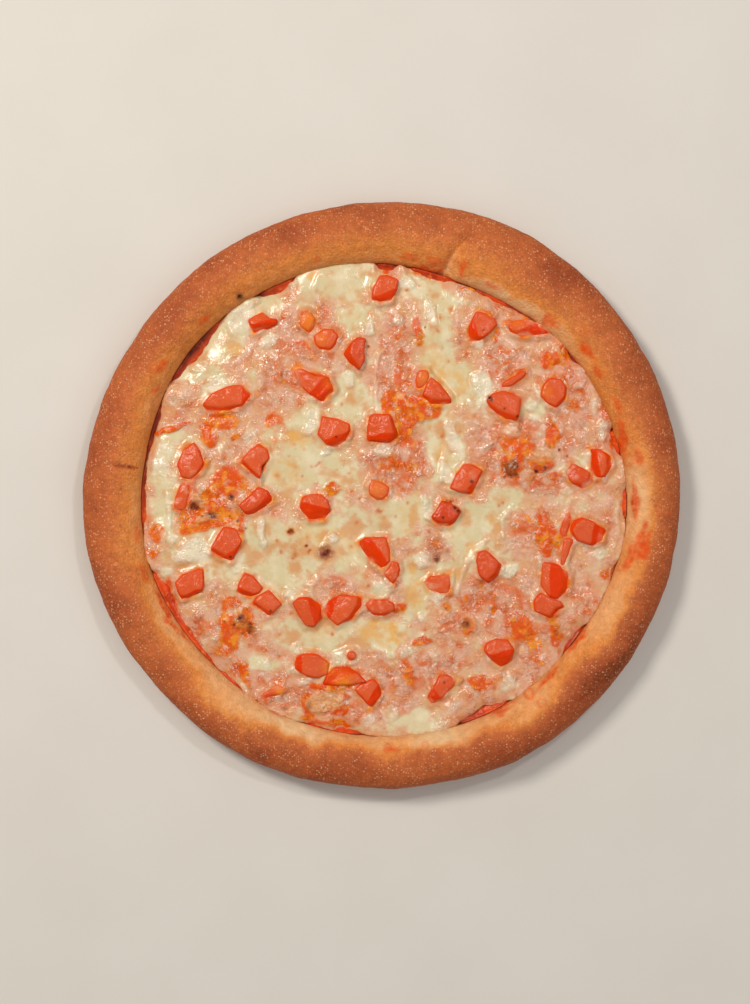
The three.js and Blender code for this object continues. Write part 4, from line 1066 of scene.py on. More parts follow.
@dataclass(frozen=True)
class CookedTomato:
    """Diced ripe tomato, softened by the oven: wet, its cut face salmon, partly its flesh and partly painted
    sheen, and its sides a deeper red.
    """

    # Cut top: the flesh's salmon, partly painted sheen of the light from above
    cut_and_sheen: str = "#da5a2a"
    side: str = "#ea4408"
    flesh: str = "#de3800"
    deep: str = "#cc3600"
    amber: str = "#ea8420"
    film: str = "#e5a07a"
    char: str = "#2e1206"
    gloss: Gloss = Gloss(0.2, 0.15, 0.2, (4, 1, 0.4), 0.4, 0.8)

    def make(self) -> bpy.types.Material:
        """Build the tomato's material.

        Returns:
            The material.
        """
        surface = Surface("cooked_tomato")
        noise, attribute = surface.noise, surface.attribute
        cut_and_sheen = attribute("cut_and_sheen")
        # The cut top salmon, partly painted sheen; the sides a deeper red
        colour = (cut_and_sheen + noise(2.4, 3).about_zero(0.5)).clipped().blend(self.side, self.cut_and_sheen)
        colour = colour.coat(attribute("flesh"), self.flesh)
        colour = colour.coat((attribute("ripe") + noise(5, 2).about_zero(0.5)).clipped(), self.deep)
        colour = colour.coat(attribute("amber"), self.amber)

        # Milky film where cheese has run over it, and pale flecks on the cut top: grains of the flesh, and
        # painted glints of its wet cells
        grains_and_glints = noise(0.9, 2).band(0.56, 0.7) * noise(4, 2).band(0.42, 0.6)
        colour = colour.coat(surface.patchy("film", noise(1.4, 3).about_zero(1.0)), self.film)
        colour = colour.coat(grains_and_glints * cut_and_sheen * 0.4, self.film).coat(attribute("burnt"), self.char)
        return surface.close(colour, self.gloss, noise(2.2, 2) + noise(0.8, 2) * 0.4,
                             {"Specular IOR Level": cut_and_sheen.ranged(0, 1, 0.1, 0.2)})


@dataclass(frozen=True)
class TomatoSauce:
    """Cooked tomato sauce: smooth, oily and wet, dark red in places, with painted shadow in the gap under the
    rim.
    """

    red: str = "#dc4a0c"
    dark: str = "#b43208"
    oil: str = "#e86c24"
    # Near black: painted shadow in the gap under the rim
    deep: str = "#4c1006"
    gloss: Gloss = Gloss(0.3, 0.3, 0.08, (2, 0.5, 0.2), 0.6, 0.6)

    def make(self) -> bpy.types.Material:
        """Build the sauce's material.

        Returns:
            The material.
        """
        surface = Surface("tomato_sauce")
        colour = surface.noise(6, 3).ranged(0.4, 0.62).blend(self.red, self.dark)
        colour = colour.coat(surface.noise(3, 3).ranged(0.54, 0.7), self.oil)
        # Painted shadow where the sauce lies in the gap under the rim
        colour = colour.coat(surface.attribute("deep"), self.deep)
        return surface.close(colour, self.gloss, surface.noise(1.8, 3))


@dataclass(frozen=True)
class PaintedFloor:
    """Matt pale paint on a flat board, with the faint mottle of a roller."""

    light: str = "#dcd6cc"
    shade: str = "#d4cdc2"

    def make(self) -> bpy.types.Material:
        """Build the floor's material.

        Returns:
            The material.
        """
        surface = Surface("matt_pale_paint")
        colour = surface.noise(60, 3).blend(self.light, self.shade)
        fill(surface.tree.nodes["Principled BSDF"], {"Base Color": colour, "Roughness": 0.9})
        return surface.material


# ---- Layers ----


@dataclass
class Layer:
    """A layer that lies round the outlines' own centre."""

    middle: np.ndarray
    seed: int = 0

    def __post_init__(self) -> None:
        """Seed the layer's own unevenness."""
        self.grain = Grain(self.seed)


@dataclass
class Crust(Layer):
    """The baked base and its thick rim, one body."""

    seed: int = 11
    turn_steps: int = 940
    section_steps: int = 84
    underside_radii: tuple[float, ...] = (104, 80, 56, 32, 12)
    floor_radius: float = 101.0
    swelling_lift: float = 1.1
    swelling_spread: float = 6.5
    swelling_over: float = 75.0
    swelling_reach: float = 50.0
    joint_turn: float = 73.0
    joint_depth: float = 3.2
    joint_spread: float = 1.5
    joint_step: float = 1.2
    joint_step_spread: float = 9.0
    joint_lean: float = 0.035  # degrees round the pizza for each degree over the section
    crack_depth: float = 0.5
    # Strength and size of each layer of unevenness
    skin: tuple[tuple[float, float], ...] = ((0.5, 26), (0.3, 11))
    inner_skin: tuple[tuple[float, float], ...] = ((0.35, 7), (0.2, 3))
    warp: tuple[tuple[float, float], ...] = ((2.2, 12), (1.0, 5))  # how its patches wander round the pizza
    drift: tuple[tuple[float, float], ...] = ((0.07, 12), (0.04, 5))  # and over the rim's width
    map_under: float = 0.24  # radii and corner in the flat map, whose side is 1
    map_rim: float = 0.495
    map_corner: float = 0.08
    map_floor: float = 0.075
    inner_edge: float = 179.9  # angle over the section at which the wall's foot starts

    def _oval(self, turn: np.ndarray, over: np.ndarray) -> tuple[np.ndarray, np.ndarray]:
        """The rim's plain section.

        Args:
            turn: Turns round the pizza, one a row.
            over: Angles over the section, from -90 at the bottom outside to 180 at the inner wall.

        Returns:
            Radius and height.
        """
        turn = np.reshape(turn, (-1, 1))
        inner = inner_radius(turn)
        width = outer_radius(turn) - inner
        outside = over <= 90
        power = np.where(outside, 2 / OUTSIDE_FULLNESS, 2 / INSIDE_FULLNESS)
        sides = (np.cos(np.radians(over)), np.sin(np.radians(over)))
        across, up = (np.sign(side) * np.abs(side) ** power for side in sides)
        half_width = width * np.where(outside, RIM_CENTRE_SHARE, 1 - RIM_CENTRE_SHARE)
        crown = RIM_HEIGHT + waves_at(turn, RIM_HEIGHT_WAVES) - RIM_CENTRE_HEIGHT
        height = RIM_CENTRE_HEIGHT + up * np.where(over < 0, RIM_CENTRE_HEIGHT, crown)
        return inner + width * (1 - RIM_CENTRE_SHARE) + across * half_width, height

    def _section_angles(self) -> np.ndarray:
        """Angles over the rim's section, spaced so that the steps are of about one length.

        Returns:
            The angles, from the outside's foot to the inner wall's.
        """
        fine = np.linspace(-90, 180, 4000)
        radius, height = self._oval(np.zeros(1), fine[None, :])
        run = np.append(0, np.cumsum(np.hypot(np.diff(radius[0]), np.diff(height[0]))))
        return np.interp(np.linspace(0, run[-1], self.section_steps), run, fine)

    def _share(self, turn: np.ndarray, points: np.ndarray) -> np.ndarray:
        """How far out over the rim's width a place lies, 0 at the cheese and 1 at the outside."""
        radius = np.hypot(points[:, 0], points[:, 1])
        return (radius - inner_radius(turn)) / (outer_radius(turn) - inner_radius(turn))

    def _from_joint(self, turn: np.ndarray, over: np.ndarray, points: np.ndarray) -> np.ndarray:
        """Degrees from the leaning, wandering joint of the dough."""
        wander = 1.2 * self.grain.soft(points, 14)
        return turn_between(self.joint_turn, turn) + wander - self.joint_lean * (over - 130)

    def _relief(self, turn: np.ndarray, over: np.ndarray, points: np.ndarray) -> np.ndarray:
        """How far the skin stands out from the plain section.

        Args:
            turn: Turn of each vertex.
            over: Angle over the section of each vertex.
            points: Places on the plain section.

        Returns:
            One distance a vertex.
        """
        relief = np.zeros(len(turn))
        for swelling in SWELLING_TURNS:
            round_it = hump(turn_between(swelling, turn), self.swelling_spread)
            relief += self.swelling_lift * round_it * hump(over - self.swelling_over, self.swelling_reach)
        from_joint = self._from_joint(turn, over, points)
        upper = smooth(over, 20, 110)
        relief -= self.joint_depth * hump(from_joint, self.joint_spread) * upper
        relief += self.joint_step * hump(from_joint, self.joint_step_spread) * upper * (from_joint < 0)
        relief += self.grain.layers(points, *self.skin)
        relief += self.grain.layers(points, (0.18, 5)) + 0.12 * self.grain.curds(points, 2.6)
        relief += smooth(over, 90, 150) * self.grain.layers(points, *self.inner_skin)
        cracked, start, end, half = CRACK
        share = self._share(turn, points)
        along = (share > start) & (share < end)
        relief -= self.crack_depth * along * hump(turn_between(cracked, turn) * 2.2, half)
        relief *= smooth(over, -60, 0) * (1 - 0.5 * smooth(over, 150, 178)) * (over < self.inner_edge)
        for x, y, wide, rise in BLISTERS:
            relief += rise * hump(distance_from(x, y, points), 0.4 * wide) * (over > 20)
        return relief

    def _form(self, column: np.ndarray, ring: np.ndarray) -> tuple[np.ndarray, np.ndarray, np.ndarray]:
        """Roll the flat sheet round into the crust.

        Args:
            column: Each vertex's step round the pizza.
            ring: Each vertex's ring, from the middle of the underside outwards, over the rim and in again.

        Returns:
            Turn, angle over the section and plain place of each vertex.
        """
        below = len(self.underside_radii)
        angles = self._section_angles()
        turns = 360.0 * np.arange(self.turn_steps) / self.turn_steps
        radii, heights = self._oval(turns, angles[None, :])
        radii[:, -1] = inner_radius(turns)
        heights[:, -1] = FLOOR_HEIGHT
        under = np.tile(self.underside_radii[::-1], (self.turn_steps, 1))
        floor = np.ones((self.turn_steps, 1))
        radii = np.hstack([under, radii, floor * self.floor_radius])
        heights = np.hstack([np.zeros_like(under), heights, floor * FLOOR_HEIGHT])
        over = np.concatenate([np.full(below, -90.0), angles, [180.0]])[ring]
        turn = turns[column]
        plain = np.column_stack([heading_of(turn) * radii[column, ring][:, None], heights[column, ring]])
        return turn, over, plain

    def _tones(self, turn: np.ndarray, over: np.ndarray, plain: np.ndarray) -> dict[str, np.ndarray]:
        """How browned, stained and charred each vertex is.

        Args:
            turn: Turn of each vertex.
            over: Angle over the section of each vertex.
            plain: Plain place of each vertex.

        Returns:
            The finish's numbers by name.
        """
        grain = self.grain
        share = self._share(turn, plain)
        warp = grain.layers(plain, *self.warp)
        lift = grain.layers(plain + 90, *self.drift)
        bake = 0.3 + 0.3 * smooth(share, 0.05, 0.95) + grain.layers(plain, (0.05, 30))
        bake -= 0.3 * smooth(-over, 10, 75)
        for where, out, wide, high, strength in DARK_PATCHES:
            across = turn_between(where, turn + warp) / wide
            up = (share + lift - out) / high
            bake += 0.36 * strength * np.exp(-1.6 * (across**2 + up**2)) * (over > -30)
        pale, flour, stain, char = np.zeros((4, len(turn)))
        for where, wide, reach, strength in PALE_STRETCHES:
            near = hump(turn_between(where, turn + warp), wide)
            within = 1 - smooth(share + 1.5 * lift, 0.45 * reach, 1.15 * reach)
            pale = np.maximum(pale, strength * near * within)
        bake *= 1 - 0.92 * pale
        for where, wide, reach, strength in FLOURY_STRETCHES:
            near = hump(turn_between(where, turn + warp), wide)
            flour = union(flour, strength * near * (1 - smooth(share + 1.2 * lift, 0.4 * reach, 1.2 * reach)))
        for where, out, wide, high, strength in STAINS:
            across = turn_between(where, turn + 0.6 * warp) / (0.6 * wide)
            up = (share + lift - out) / (0.6 * high)
            stain = union(stain, strength * (1 - smooth(np.hypot(across, up), 0.5, 1.2)))
        for x, y, wide, rise in BLISTERS:
            near = distance_from(x, y, plain) + 0.35 * grain.soft(plain, 2.2)
            stain = union(stain, 0.7 * max(rise, 0) * (hump(near - 0.38 * wide, 0.17 * wide) * (over > 0)))
            char = union(char, hump(near, 0.45 * wide) * (over > 0) * (rise < -1))
        cracked, start, end, half = CRACK
        along = smooth(share, start, start + 0.1) * (1 - smooth(share, end - 0.2, end))
        crack = along * hump(turn_between(cracked, turn) * 2.2, half)
        bake += 0.5 * crack
        char = union(char, 0.75 * crack * smooth(grain.soft(plain, 1.6), -0.3, 0.4))
        bake -= 0.2 * hump(self._from_joint(turn, over, plain) - 0.4, 0.8) * smooth(over, 70, 120)
        on_top = (over > -40) & (over < self.inner_edge)
        covers = {"flour": flour, "stain": stain, "char": char}
        return {"bake": np.clip(bake, 0, 1)} | {name: cover * on_top for name, cover in covers.items()}

    def _unfold(self, piece: bpy.types.Object, ring_of: np.ndarray) -> None:
        """Lay the crust's map out as rings, the rim outermost, its underside inside and its floor aside.

        Args:
            piece: The finished crust.
            ring_of: The ring number of each vertex.
        """
        below = len(self.underside_radii)
        foot = below + self.section_steps - 1
        radii = [self.map_under, self.map_rim, self.map_rim]
        radial = np.interp(np.arange(foot + 2), [below, foot, foot + 1], radii)
        loops, starts, totals = face_corners(piece)
        points, rings = places(piece)[loops], ring_of[loops]
        radius = np.maximum(np.hypot(points[:, 0], points[:, 1]), 1e-6)
        heading = points[:, :2] / radius[:, None]
        out = np.where(rings < below, self.map_under * radius / RIM_FOOT_RADIUS, radial[rings])
        spread = 0.5 + heading * out[:, None]
        spread[:, 0] = 1 - spread[:, 0]
        aside = np.repeat(np.maximum.reduceat(rings, starts) == foot + 1, totals)
        floor = self.map_corner + heading * (self.map_floor * radius / INNER_RADIUS)[:, None]
        spread[aside] = floor[aside]
        lay_map(piece, spread)

    def build(self, finish: bpy.types.Material) -> bpy.types.Object:
        """Build the crust.

        Args:
            finish: Its material.

        Returns:
            The finished piece.
        """
        rows = len(self.underside_radii) + self.section_steps
        piece = add_sheet("browned_crust", self.turn_steps, rows)
        column, ring = roll_up(piece, self.turn_steps, rows)
        turn, over, plain = self._form(column, ring)
        upright = np.sin(np.radians(over))
        outward = np.column_stack([np.cos(np.radians(over))[:, None] * heading_of(turn), upright])
        put(piece, plain + outward * self._relief(turn, over, plain)[:, None] + self.middle)
        note(piece, self._tones(turn, over, plain) | {"ring": ring})
        close_up(piece)
        kept = piece.data.attributes["ring"]
        ring_of = np.rint(read(kept.data, "value", np.float32)).astype(int)
        piece.data.attributes.remove(kept)
        self._unfold(piece, ring_of)
        piece.data.materials.append(finish)
        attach(piece, BODY)
        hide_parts("crust")
        LOG.info("crust: %d faces", len(piece.data.polygons))
        return piece


@dataclass
class Sauce(Layer):
    """The layer of sauce, which shows where the cheese stops short of the rim."""

    seed: int = 23
    turn_steps: int = 720
    lip: float = 2.6
    # Rings of the section: distance in from the wall's foot, height over the sauce's top, share of the lip
    section: tuple[tuple[float, float, float], ...] = (
        (60, -1.2, 0), (0.35, -1.2, 0), (0.1, -0.4, 0.2), (0.05, 0, 0.7), (0.25, 0.2, 1), (0.8, 0.25, 0.95),
        (1.4, 0.2, 0.75), (2.1, 0.15, 0.6), (2.9, 0.1, 0.5), (3.8, 0, 0.42), (5, 0, 0), (8, 0, 0), (60, 0, 0),
    )

    def build(self, finish: bpy.types.Material) -> bpy.types.Object:
        """Build the sauce.

        Args:
            finish: Its material.

        Returns:
            The finished piece.
        """
        rows = len(self.section) - 1
        piece = add_sheet("tomato_sauce", self.turn_steps, rows)
        column, ring = roll_up(piece, self.turn_steps, rows)
        turn = 360.0 * column / self.turn_steps
        inward, height, share = (np.array(values)[ring] for values in zip(*self.section))
        radius = inner_radius(turn) - inward
        points = np.column_stack([heading_of(turn) * radius[:, None], SAUCE_TOP + height])
        points[:, 2] += self.lip * share * smooth(clearance(turn), 1.1, 1.8)
        points[:, 2] += (share > 0.3) * self.grain.layers(points, (0.25, 5), (0.12, 2))
        put(piece, points + self.middle)
        # Painted shadow on the sauce in the gap under the rim's wall, kept as its deep number
        gap = sum(strength * hump(turn_between(where, turn), wide) for where, wide, strength in SAUCE_SHADOWS)
        uneven = 0.9 + self.grain.layers(points, (0.4, 4))
        note(piece, {"deep": np.clip(gap, 0, 1) * hump(inward - 0.7, 2.3) * uneven})
        close_up(piece)
        piece.data.materials.append(finish)
        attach(piece, BODY)
        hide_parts("sauce")
        LOG.info("sauce: %d faces", len(piece.data.polygons))
        return piece


@dataclass
class Mozzarella(Layer):
    """The sheet of melted cheese, with a pocket for each piece of tomato."""

    seed: int = 37
    blocks: tuple[bpy.types.Object, ...] = ()  # the pieces of tomato, plain
    cells: int = 304
    wall_rings: int = 5
    edge_drop: float = 1.9
    edge_reach: float = 5.0
    pocket_floor: float = 8.9
    highest: float = 1.55  # over the cheese's plain top
    blush: float = 0.5  # how far sauce has stained the cheese between the patches
    map_top: float = 0.44  # radii and corner in the flat map, whose side is 1
    map_slope: float = 0.012  # how much wider it lies for each millimetre down
    map_corner: float = 0.075
    map_under: float = 0.065

    def _spread(self, flat: np.ndarray) -> tuple[np.ndarray, np.ndarray]:
        """Turn a square sheet to a round one of even cells.

        Args:
            flat: The sheet's vertices, within half a unit of its middle.

        Returns:
            Turn, and ring number counted from the middle, of each vertex.
        """
        x, y = 2 * flat[:, 0], 2 * flat[:, 1]
        wide = np.abs(x) >= np.abs(y)
        with np.errstate(divide="ignore", invalid="ignore"):
            eighth = np.nan_to_num(np.where(wide, y / x, x / y) * 45)
        turn = np.where(wide, np.where(x >= 0, 0, 180) + eighth, np.where(y >= 0, 90, 270) - eighth)
        ring = np.rint(np.maximum(np.abs(x), np.abs(y)) * self.cells / 2).astype(int)
        return turn % 360, ring

    def _edge_radius(self, turn: np.ndarray) -> np.ndarray:
        """Radius of the cheese's edge: it clings to the wall where it reaches it, and is ragged elsewhere.

        Args:
            turn: Turns round the pizza.

        Returns:
            One radius for each turn.
        """
        short = clearance(turn)
        rim = at_height(heading_of(turn), 0) * INNER_RADIUS
        ragged = self.grain.layers(rim, (0.9, 7), (0.6, 3)) * (0.5 + 0.5 * smooth(short, 0.7, 1.6))
        return inner_radius(turn) - short + 0.75 * (1 - smooth(short, 0.7, 1.5)) + ragged

    def _masks(self, plan: np.ndarray) -> dict[Tone, np.ndarray]:
        """How far each tone covers each vertex.

        Args:
            plan: Places seen from above, in the frame.

        Returns:
            A coverage from 0 to 1 for each tone.
        """
        layers = self.grain.layers
        flat = at_height(plan, 0)
        drift = np.column_stack([layers(flat + shift, (1.5, 8), (0.8, 3)) for shift in (50, 150)])
        where = flat[:, :2] + drift
        masks = {tone: np.zeros(len(plan)) for tone in Tone}
        for tone, patches in PATCHES.items():
            for x, y, length, width, strength, *turned in patches:
                angle = math.radians(sum(turned))
                cosine, sine = math.cos(angle), math.sin(angle)
                across, along = where[:, 0] - x, where[:, 1] - y
                u = (across * cosine + along * sine) / (0.5 * length)
                v = (along * cosine - across * sine) / (0.5 * width)
                faded = smooth(np.hypot(u, v), *EDGES.get(tone, PLAIN_EDGE))
                masks[tone] = union(masks[tone], strength * (1 - faded))
        torn = layers(flat + 30, (0.36, 4), (0.26, 1.9))
        halo = masks[Tone.ORANGE]
        for tone, tear, low, high in ((Tone.WHITE, 0.6, 0.1, 1.1), (Tone.ORANGE, 0.5, 0.25, 0.75)):
            masks[tone] = smooth(masks[tone] + tear * torn * (masks[tone] > 0.02), low, high)
        blush = self.blush + layers(flat + 70, (0.2, 15)) + layers(flat + 70, (0.3, 6))
        blush += 0.42 * masks[Tone.PINK] + 0.4 * torn + 0.35 * halo
        blush -= 0.62 * masks[Tone.CREAM] + 0.3 * masks[Tone.WHITE] + 0.25 * masks[Tone.YELLOW]
        masks[Tone.PINK] = np.clip(blush, 0, 1)
        smudge = smooth(layers(flat + 110, (1, 5.5), (0.5, 2.4)), 0.2, 0.6) * smooth(blush, 0.5, 0.95)
        masks[Tone.ORANGE] = union(masks[Tone.ORANGE], 0.8 * smudge) * (1 - 0.6 * masks[Tone.WHITE])
        masks[Tone.WHITE] *= (1 - 0.4 * masks[Tone.ORANGE]) * (1 - 0.8 * masks[Tone.PIECE])
        return masks

    def _add_spots(self, masks: dict[Tone, np.ndarray], plan: np.ndarray) -> None:
        """Mark the toasted bubbles and the specks of char, which don't stand out.

        Args:
            masks: How far each tone covers each vertex, which is changed.
            plan: Places seen from above, in the frame.
        """
        ragged = 0.7 * self.grain.soft(plan + 130, 2.2)
        for x, y, width in BUBBLES:
            near = np.maximum(distance_from(x, y, plan) + 0.4 * width * ragged, 0)
            for tone, strength, spread in ((Tone.ORANGE, 0.75, 0.6), (Tone.BROWN, 0.6, 0.36)):
                masks[tone] = union(masks[tone], strength * hump(near, spread * width))
        for x, y, width in SPECKS:
            near = np.maximum(distance_from(x, y, plan) + ragged, 0)
            core = max(0.36 * width, 0.45)
            rings = ((Tone.BURNT, 1, core), (Tone.BROWN, 1, 0.66 * width), (Tone.ORANGE, 0.8, width))
            for tone, strength, spread in rings:
                masks[tone] = union(masks[tone], strength * hump(near, spread))

    def _rolls(self, plan: np.ndarray) -> np.ndarray:
        """Height of the sheet's long rolls.

        Args:
            plan: Places seen from above, round the outlines' own centre.

        Returns:
            One height for each place.
        """
        height = np.full(len(plan), CHEESE_TOP)
        for length, heading, size, start in CHEESE_ROLLS:
            angle = math.radians(heading)
            along = plan[:, 0] * math.cos(angle) + plan[:, 1] * math.sin(angle)
            height += size * np.sin(2 * math.pi * along / length + start)
        return height

    def _ridge_lift(self, plan: np.ndarray) -> np.ndarray:
        """Height added where the cheese folded over itself.

        Args:
            plan: Places seen from above, in the frame.

        Returns:
            One height for each place.
        """
        lift = np.zeros(len(plan))
        sway = 0.7 * self.grain.soft(at_height(plan, 7), 4)
        for height, *points in RIDGES:
            nearest = np.full(len(plan), 99.0)
            for (x0, y0), (x1, y1) in zip(points, points[1:]):
                run = np.array([x1 - x0, y1 - y0])
                offset = plan[:, :2] - (x0, y0)
                share = np.clip(offset @ run / (run @ run), 0, 1)
                nearest = np.minimum(nearest, np.hypot(*(offset - share[:, None] * run).T))
            lift = np.maximum(lift, height * hump(nearest + sway * (nearest < 4), 1.1))
        for x, y, radius, height in RING_RIDGES:
            near = distance_from(x, y, plan)
            lift = np.maximum(lift, height * hump(near - radius, 0.8))
            lift -= 0.6 * height * hump(near, 0.6 * radius)
        return lift

    def _collars(self, plan: np.ndarray, height: np.ndarray) -> np.ndarray:
        """Sink a pocket under each piece of tomato, and let the cheese creep up round it.

        Args:
            plan: Places seen from above, in the frame.
            height: Height of each place, which is changed.

        Returns:
            How far each place lies from the nearest piece of tomato, less than 0 under it.
        """
        nearest = np.full(len(plan), 99.0)
        for block in self.blocks:
            corners = np.unique((read(block.data.vertices, "co", width=3)[:, :2] / MM).round(2), axis=0)
            hull = corners[convex_hull_2d([Vector(corner) for corner in corners])]
            low, high = hull.min(axis=0) - 5, hull.max(axis=0) + 5
            inside = np.all((plan[:, :2] > low) & (plan[:, :2] < high), axis=1)
            near = plan[inside][:, :2]
            nexts = np.roll(hull, -1, axis=0)
            sides = nexts - hull
            area = np.sum(hull[:, 0] * nexts[:, 1] - nexts[:, 0] * hull[:, 1])
            outward = np.column_stack([sides[:, 1], -sides[:, 0]]) * np.sign(area)
            outward /= np.linalg.norm(outward, axis=1, keepdims=True)
            away = np.max(near @ outward.T - np.sum(hull * outward, axis=1), axis=1)
            uneven = 0.5 + 0.5 * self.grain.soft(at_height(near, 3), 6)
            lobes = smooth(self.grain.soft(at_height(near, 9), 7), 0.05, 0.5)
            creep = (0.35 + 0.8 * uneven + 1.3 * lobes) * hump(away - 0.2, 1.6)
            sunk = smooth(-away, 0.9, 1.9 + lobes)
            level = height[inside] + creep - 0.3 * hump(away - 3, 1.6)
            height[inside] = level * (1 - sunk) + self.pocket_floor * sunk
            nearest[inside] = np.minimum(nearest[inside], away)
        return nearest

    def _unfold(self, piece: bpy.types.Object) -> None:
        """Lay the cheese's map out as seen from above, with its underside aside in a corner.

        Args:
            piece: The finished cheese.
        """
        loops, _, totals = face_corners(piece)
        points = places(piece)[loops]
        wider = 1 + self.map_slope * (CHEESE_TOP - points[:, 2:])
        spread = 0.5 + points[:, :2] * (self.map_top / INNER_RADIUS) * wider
        aside = np.repeat(totals == 3, totals)
        spread[aside] = (self.map_corner + points[:, :2] * (self.map_under / INNER_RADIUS))[aside]
        lay_map(piece, spread)

    def build(self, finish: bpy.types.Material) -> bpy.types.Object:
        """Build the cheese.

        Args:
            finish: Its material.

        Returns:
            The finished piece.
        """
        soft, layers, curds = self.grain.soft, self.grain.layers, self.grain.curds
        piece = add_sheet("melted_mozzarella", self.cells, self.cells)
        turn, ring = self._spread(places(piece) * MM)
        top_rings = self.cells // 2 - self.wall_rings
        edge = self._edge_radius(turn)
        radius = edge * np.minimum(ring / top_rings, 1)
        heading = heading_of(turn)
        plan = at_height(heading * radius[:, None], 0)
        seen = plan + self.middle

        masks = self._masks(seen)
        curd = np.clip(0.9 * masks[Tone.PINK] + 0.2 * masks[Tone.ORANGE] + 0.5 * masks[Tone.BROWN]
                       + 0.5 * masks[Tone.WHITE] + 0.5 * masks[Tone.BAKED], 0, 1)
        curd = np.clip(curd * (0.85 + 0.9 * soft(plan, 7)), 0, 1) * (1 - 0.7 * masks[Tone.PIECE])
        height = self._rolls(plan) + layers(plan, (0.35, 17)) + layers(plan, (0.16, 8))
        lumps = curds(plan, 5.4) - 0.4 + 0.5 * (curds(plan + 40, 2.9) - 0.4)
        height += curd * (0.8 * lumps + 0.6 * soft(plan, 6.5))
        height += 0.7 * masks[Tone.WHITE] * (0.9 + 0.9 * soft(plan, 4.5))
        height += 0.5 * masks[Tone.ORANGE] * (1 - masks[Tone.PINK]) - 0.2 * masks[Tone.YELLOW]
        height += 0.7 * masks[Tone.PIECE] + 1.1 * masks[Tone.BAKED]
        self._add_spots(masks, seen)
        height -= 0.2 * masks[Tone.BURNT]
        ridges = self._ridge_lift(seen)
        height += ridges
        # Painted highlight along the crests of the ridges
        masks[Tone.WHITE] = union(masks[Tone.WHITE], np.clip(0.8 * ridges, 0, 0.7))
        loose = 0.3 + 0.7 * smooth(clearance(turn), 0.7, 1.5)
        height -= loose * self.edge_drop * hump(edge - radius, self.edge_reach)
        height -= 0.9 * loose * hump(edge - radius, 1.2)
        away = self._collars(seen, height)
        height = np.minimum(height, CHEESE_TOP + self.highest)
        seep = np.exp(-np.maximum(away + 0.3, 0) / 2.1) * (0.9 + 0.8 * soft(seen, 5))
        masks[Tone.ORANGE] = union(masks[Tone.ORANGE], np.clip(seep, 0, 0.95))

        wall = np.clip((ring - top_rings) / self.wall_rings, 0, 1)
        plan[:, :2] += heading * (np.sin(wall * math.pi) * 0.35)[:, None]
        plan[:, 2] = height * (1 - wall) + CHEESE_UNDERSIDE * wall
        put(piece, plan + self.middle)
        note(piece, {tone.value: values for tone, values in masks.items()})
        note(piece, {"curd": np.clip(curd + 0.06, 0, 1)})
        close_up(piece)
        self._unfold(piece)
        piece.data.materials.append(finish)
        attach(piece, BODY)
        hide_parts("cheese")
        LOG.info("cheese: %d faces", len(piece.data.polygons))
        return piece


# ---- Diced tomato ----


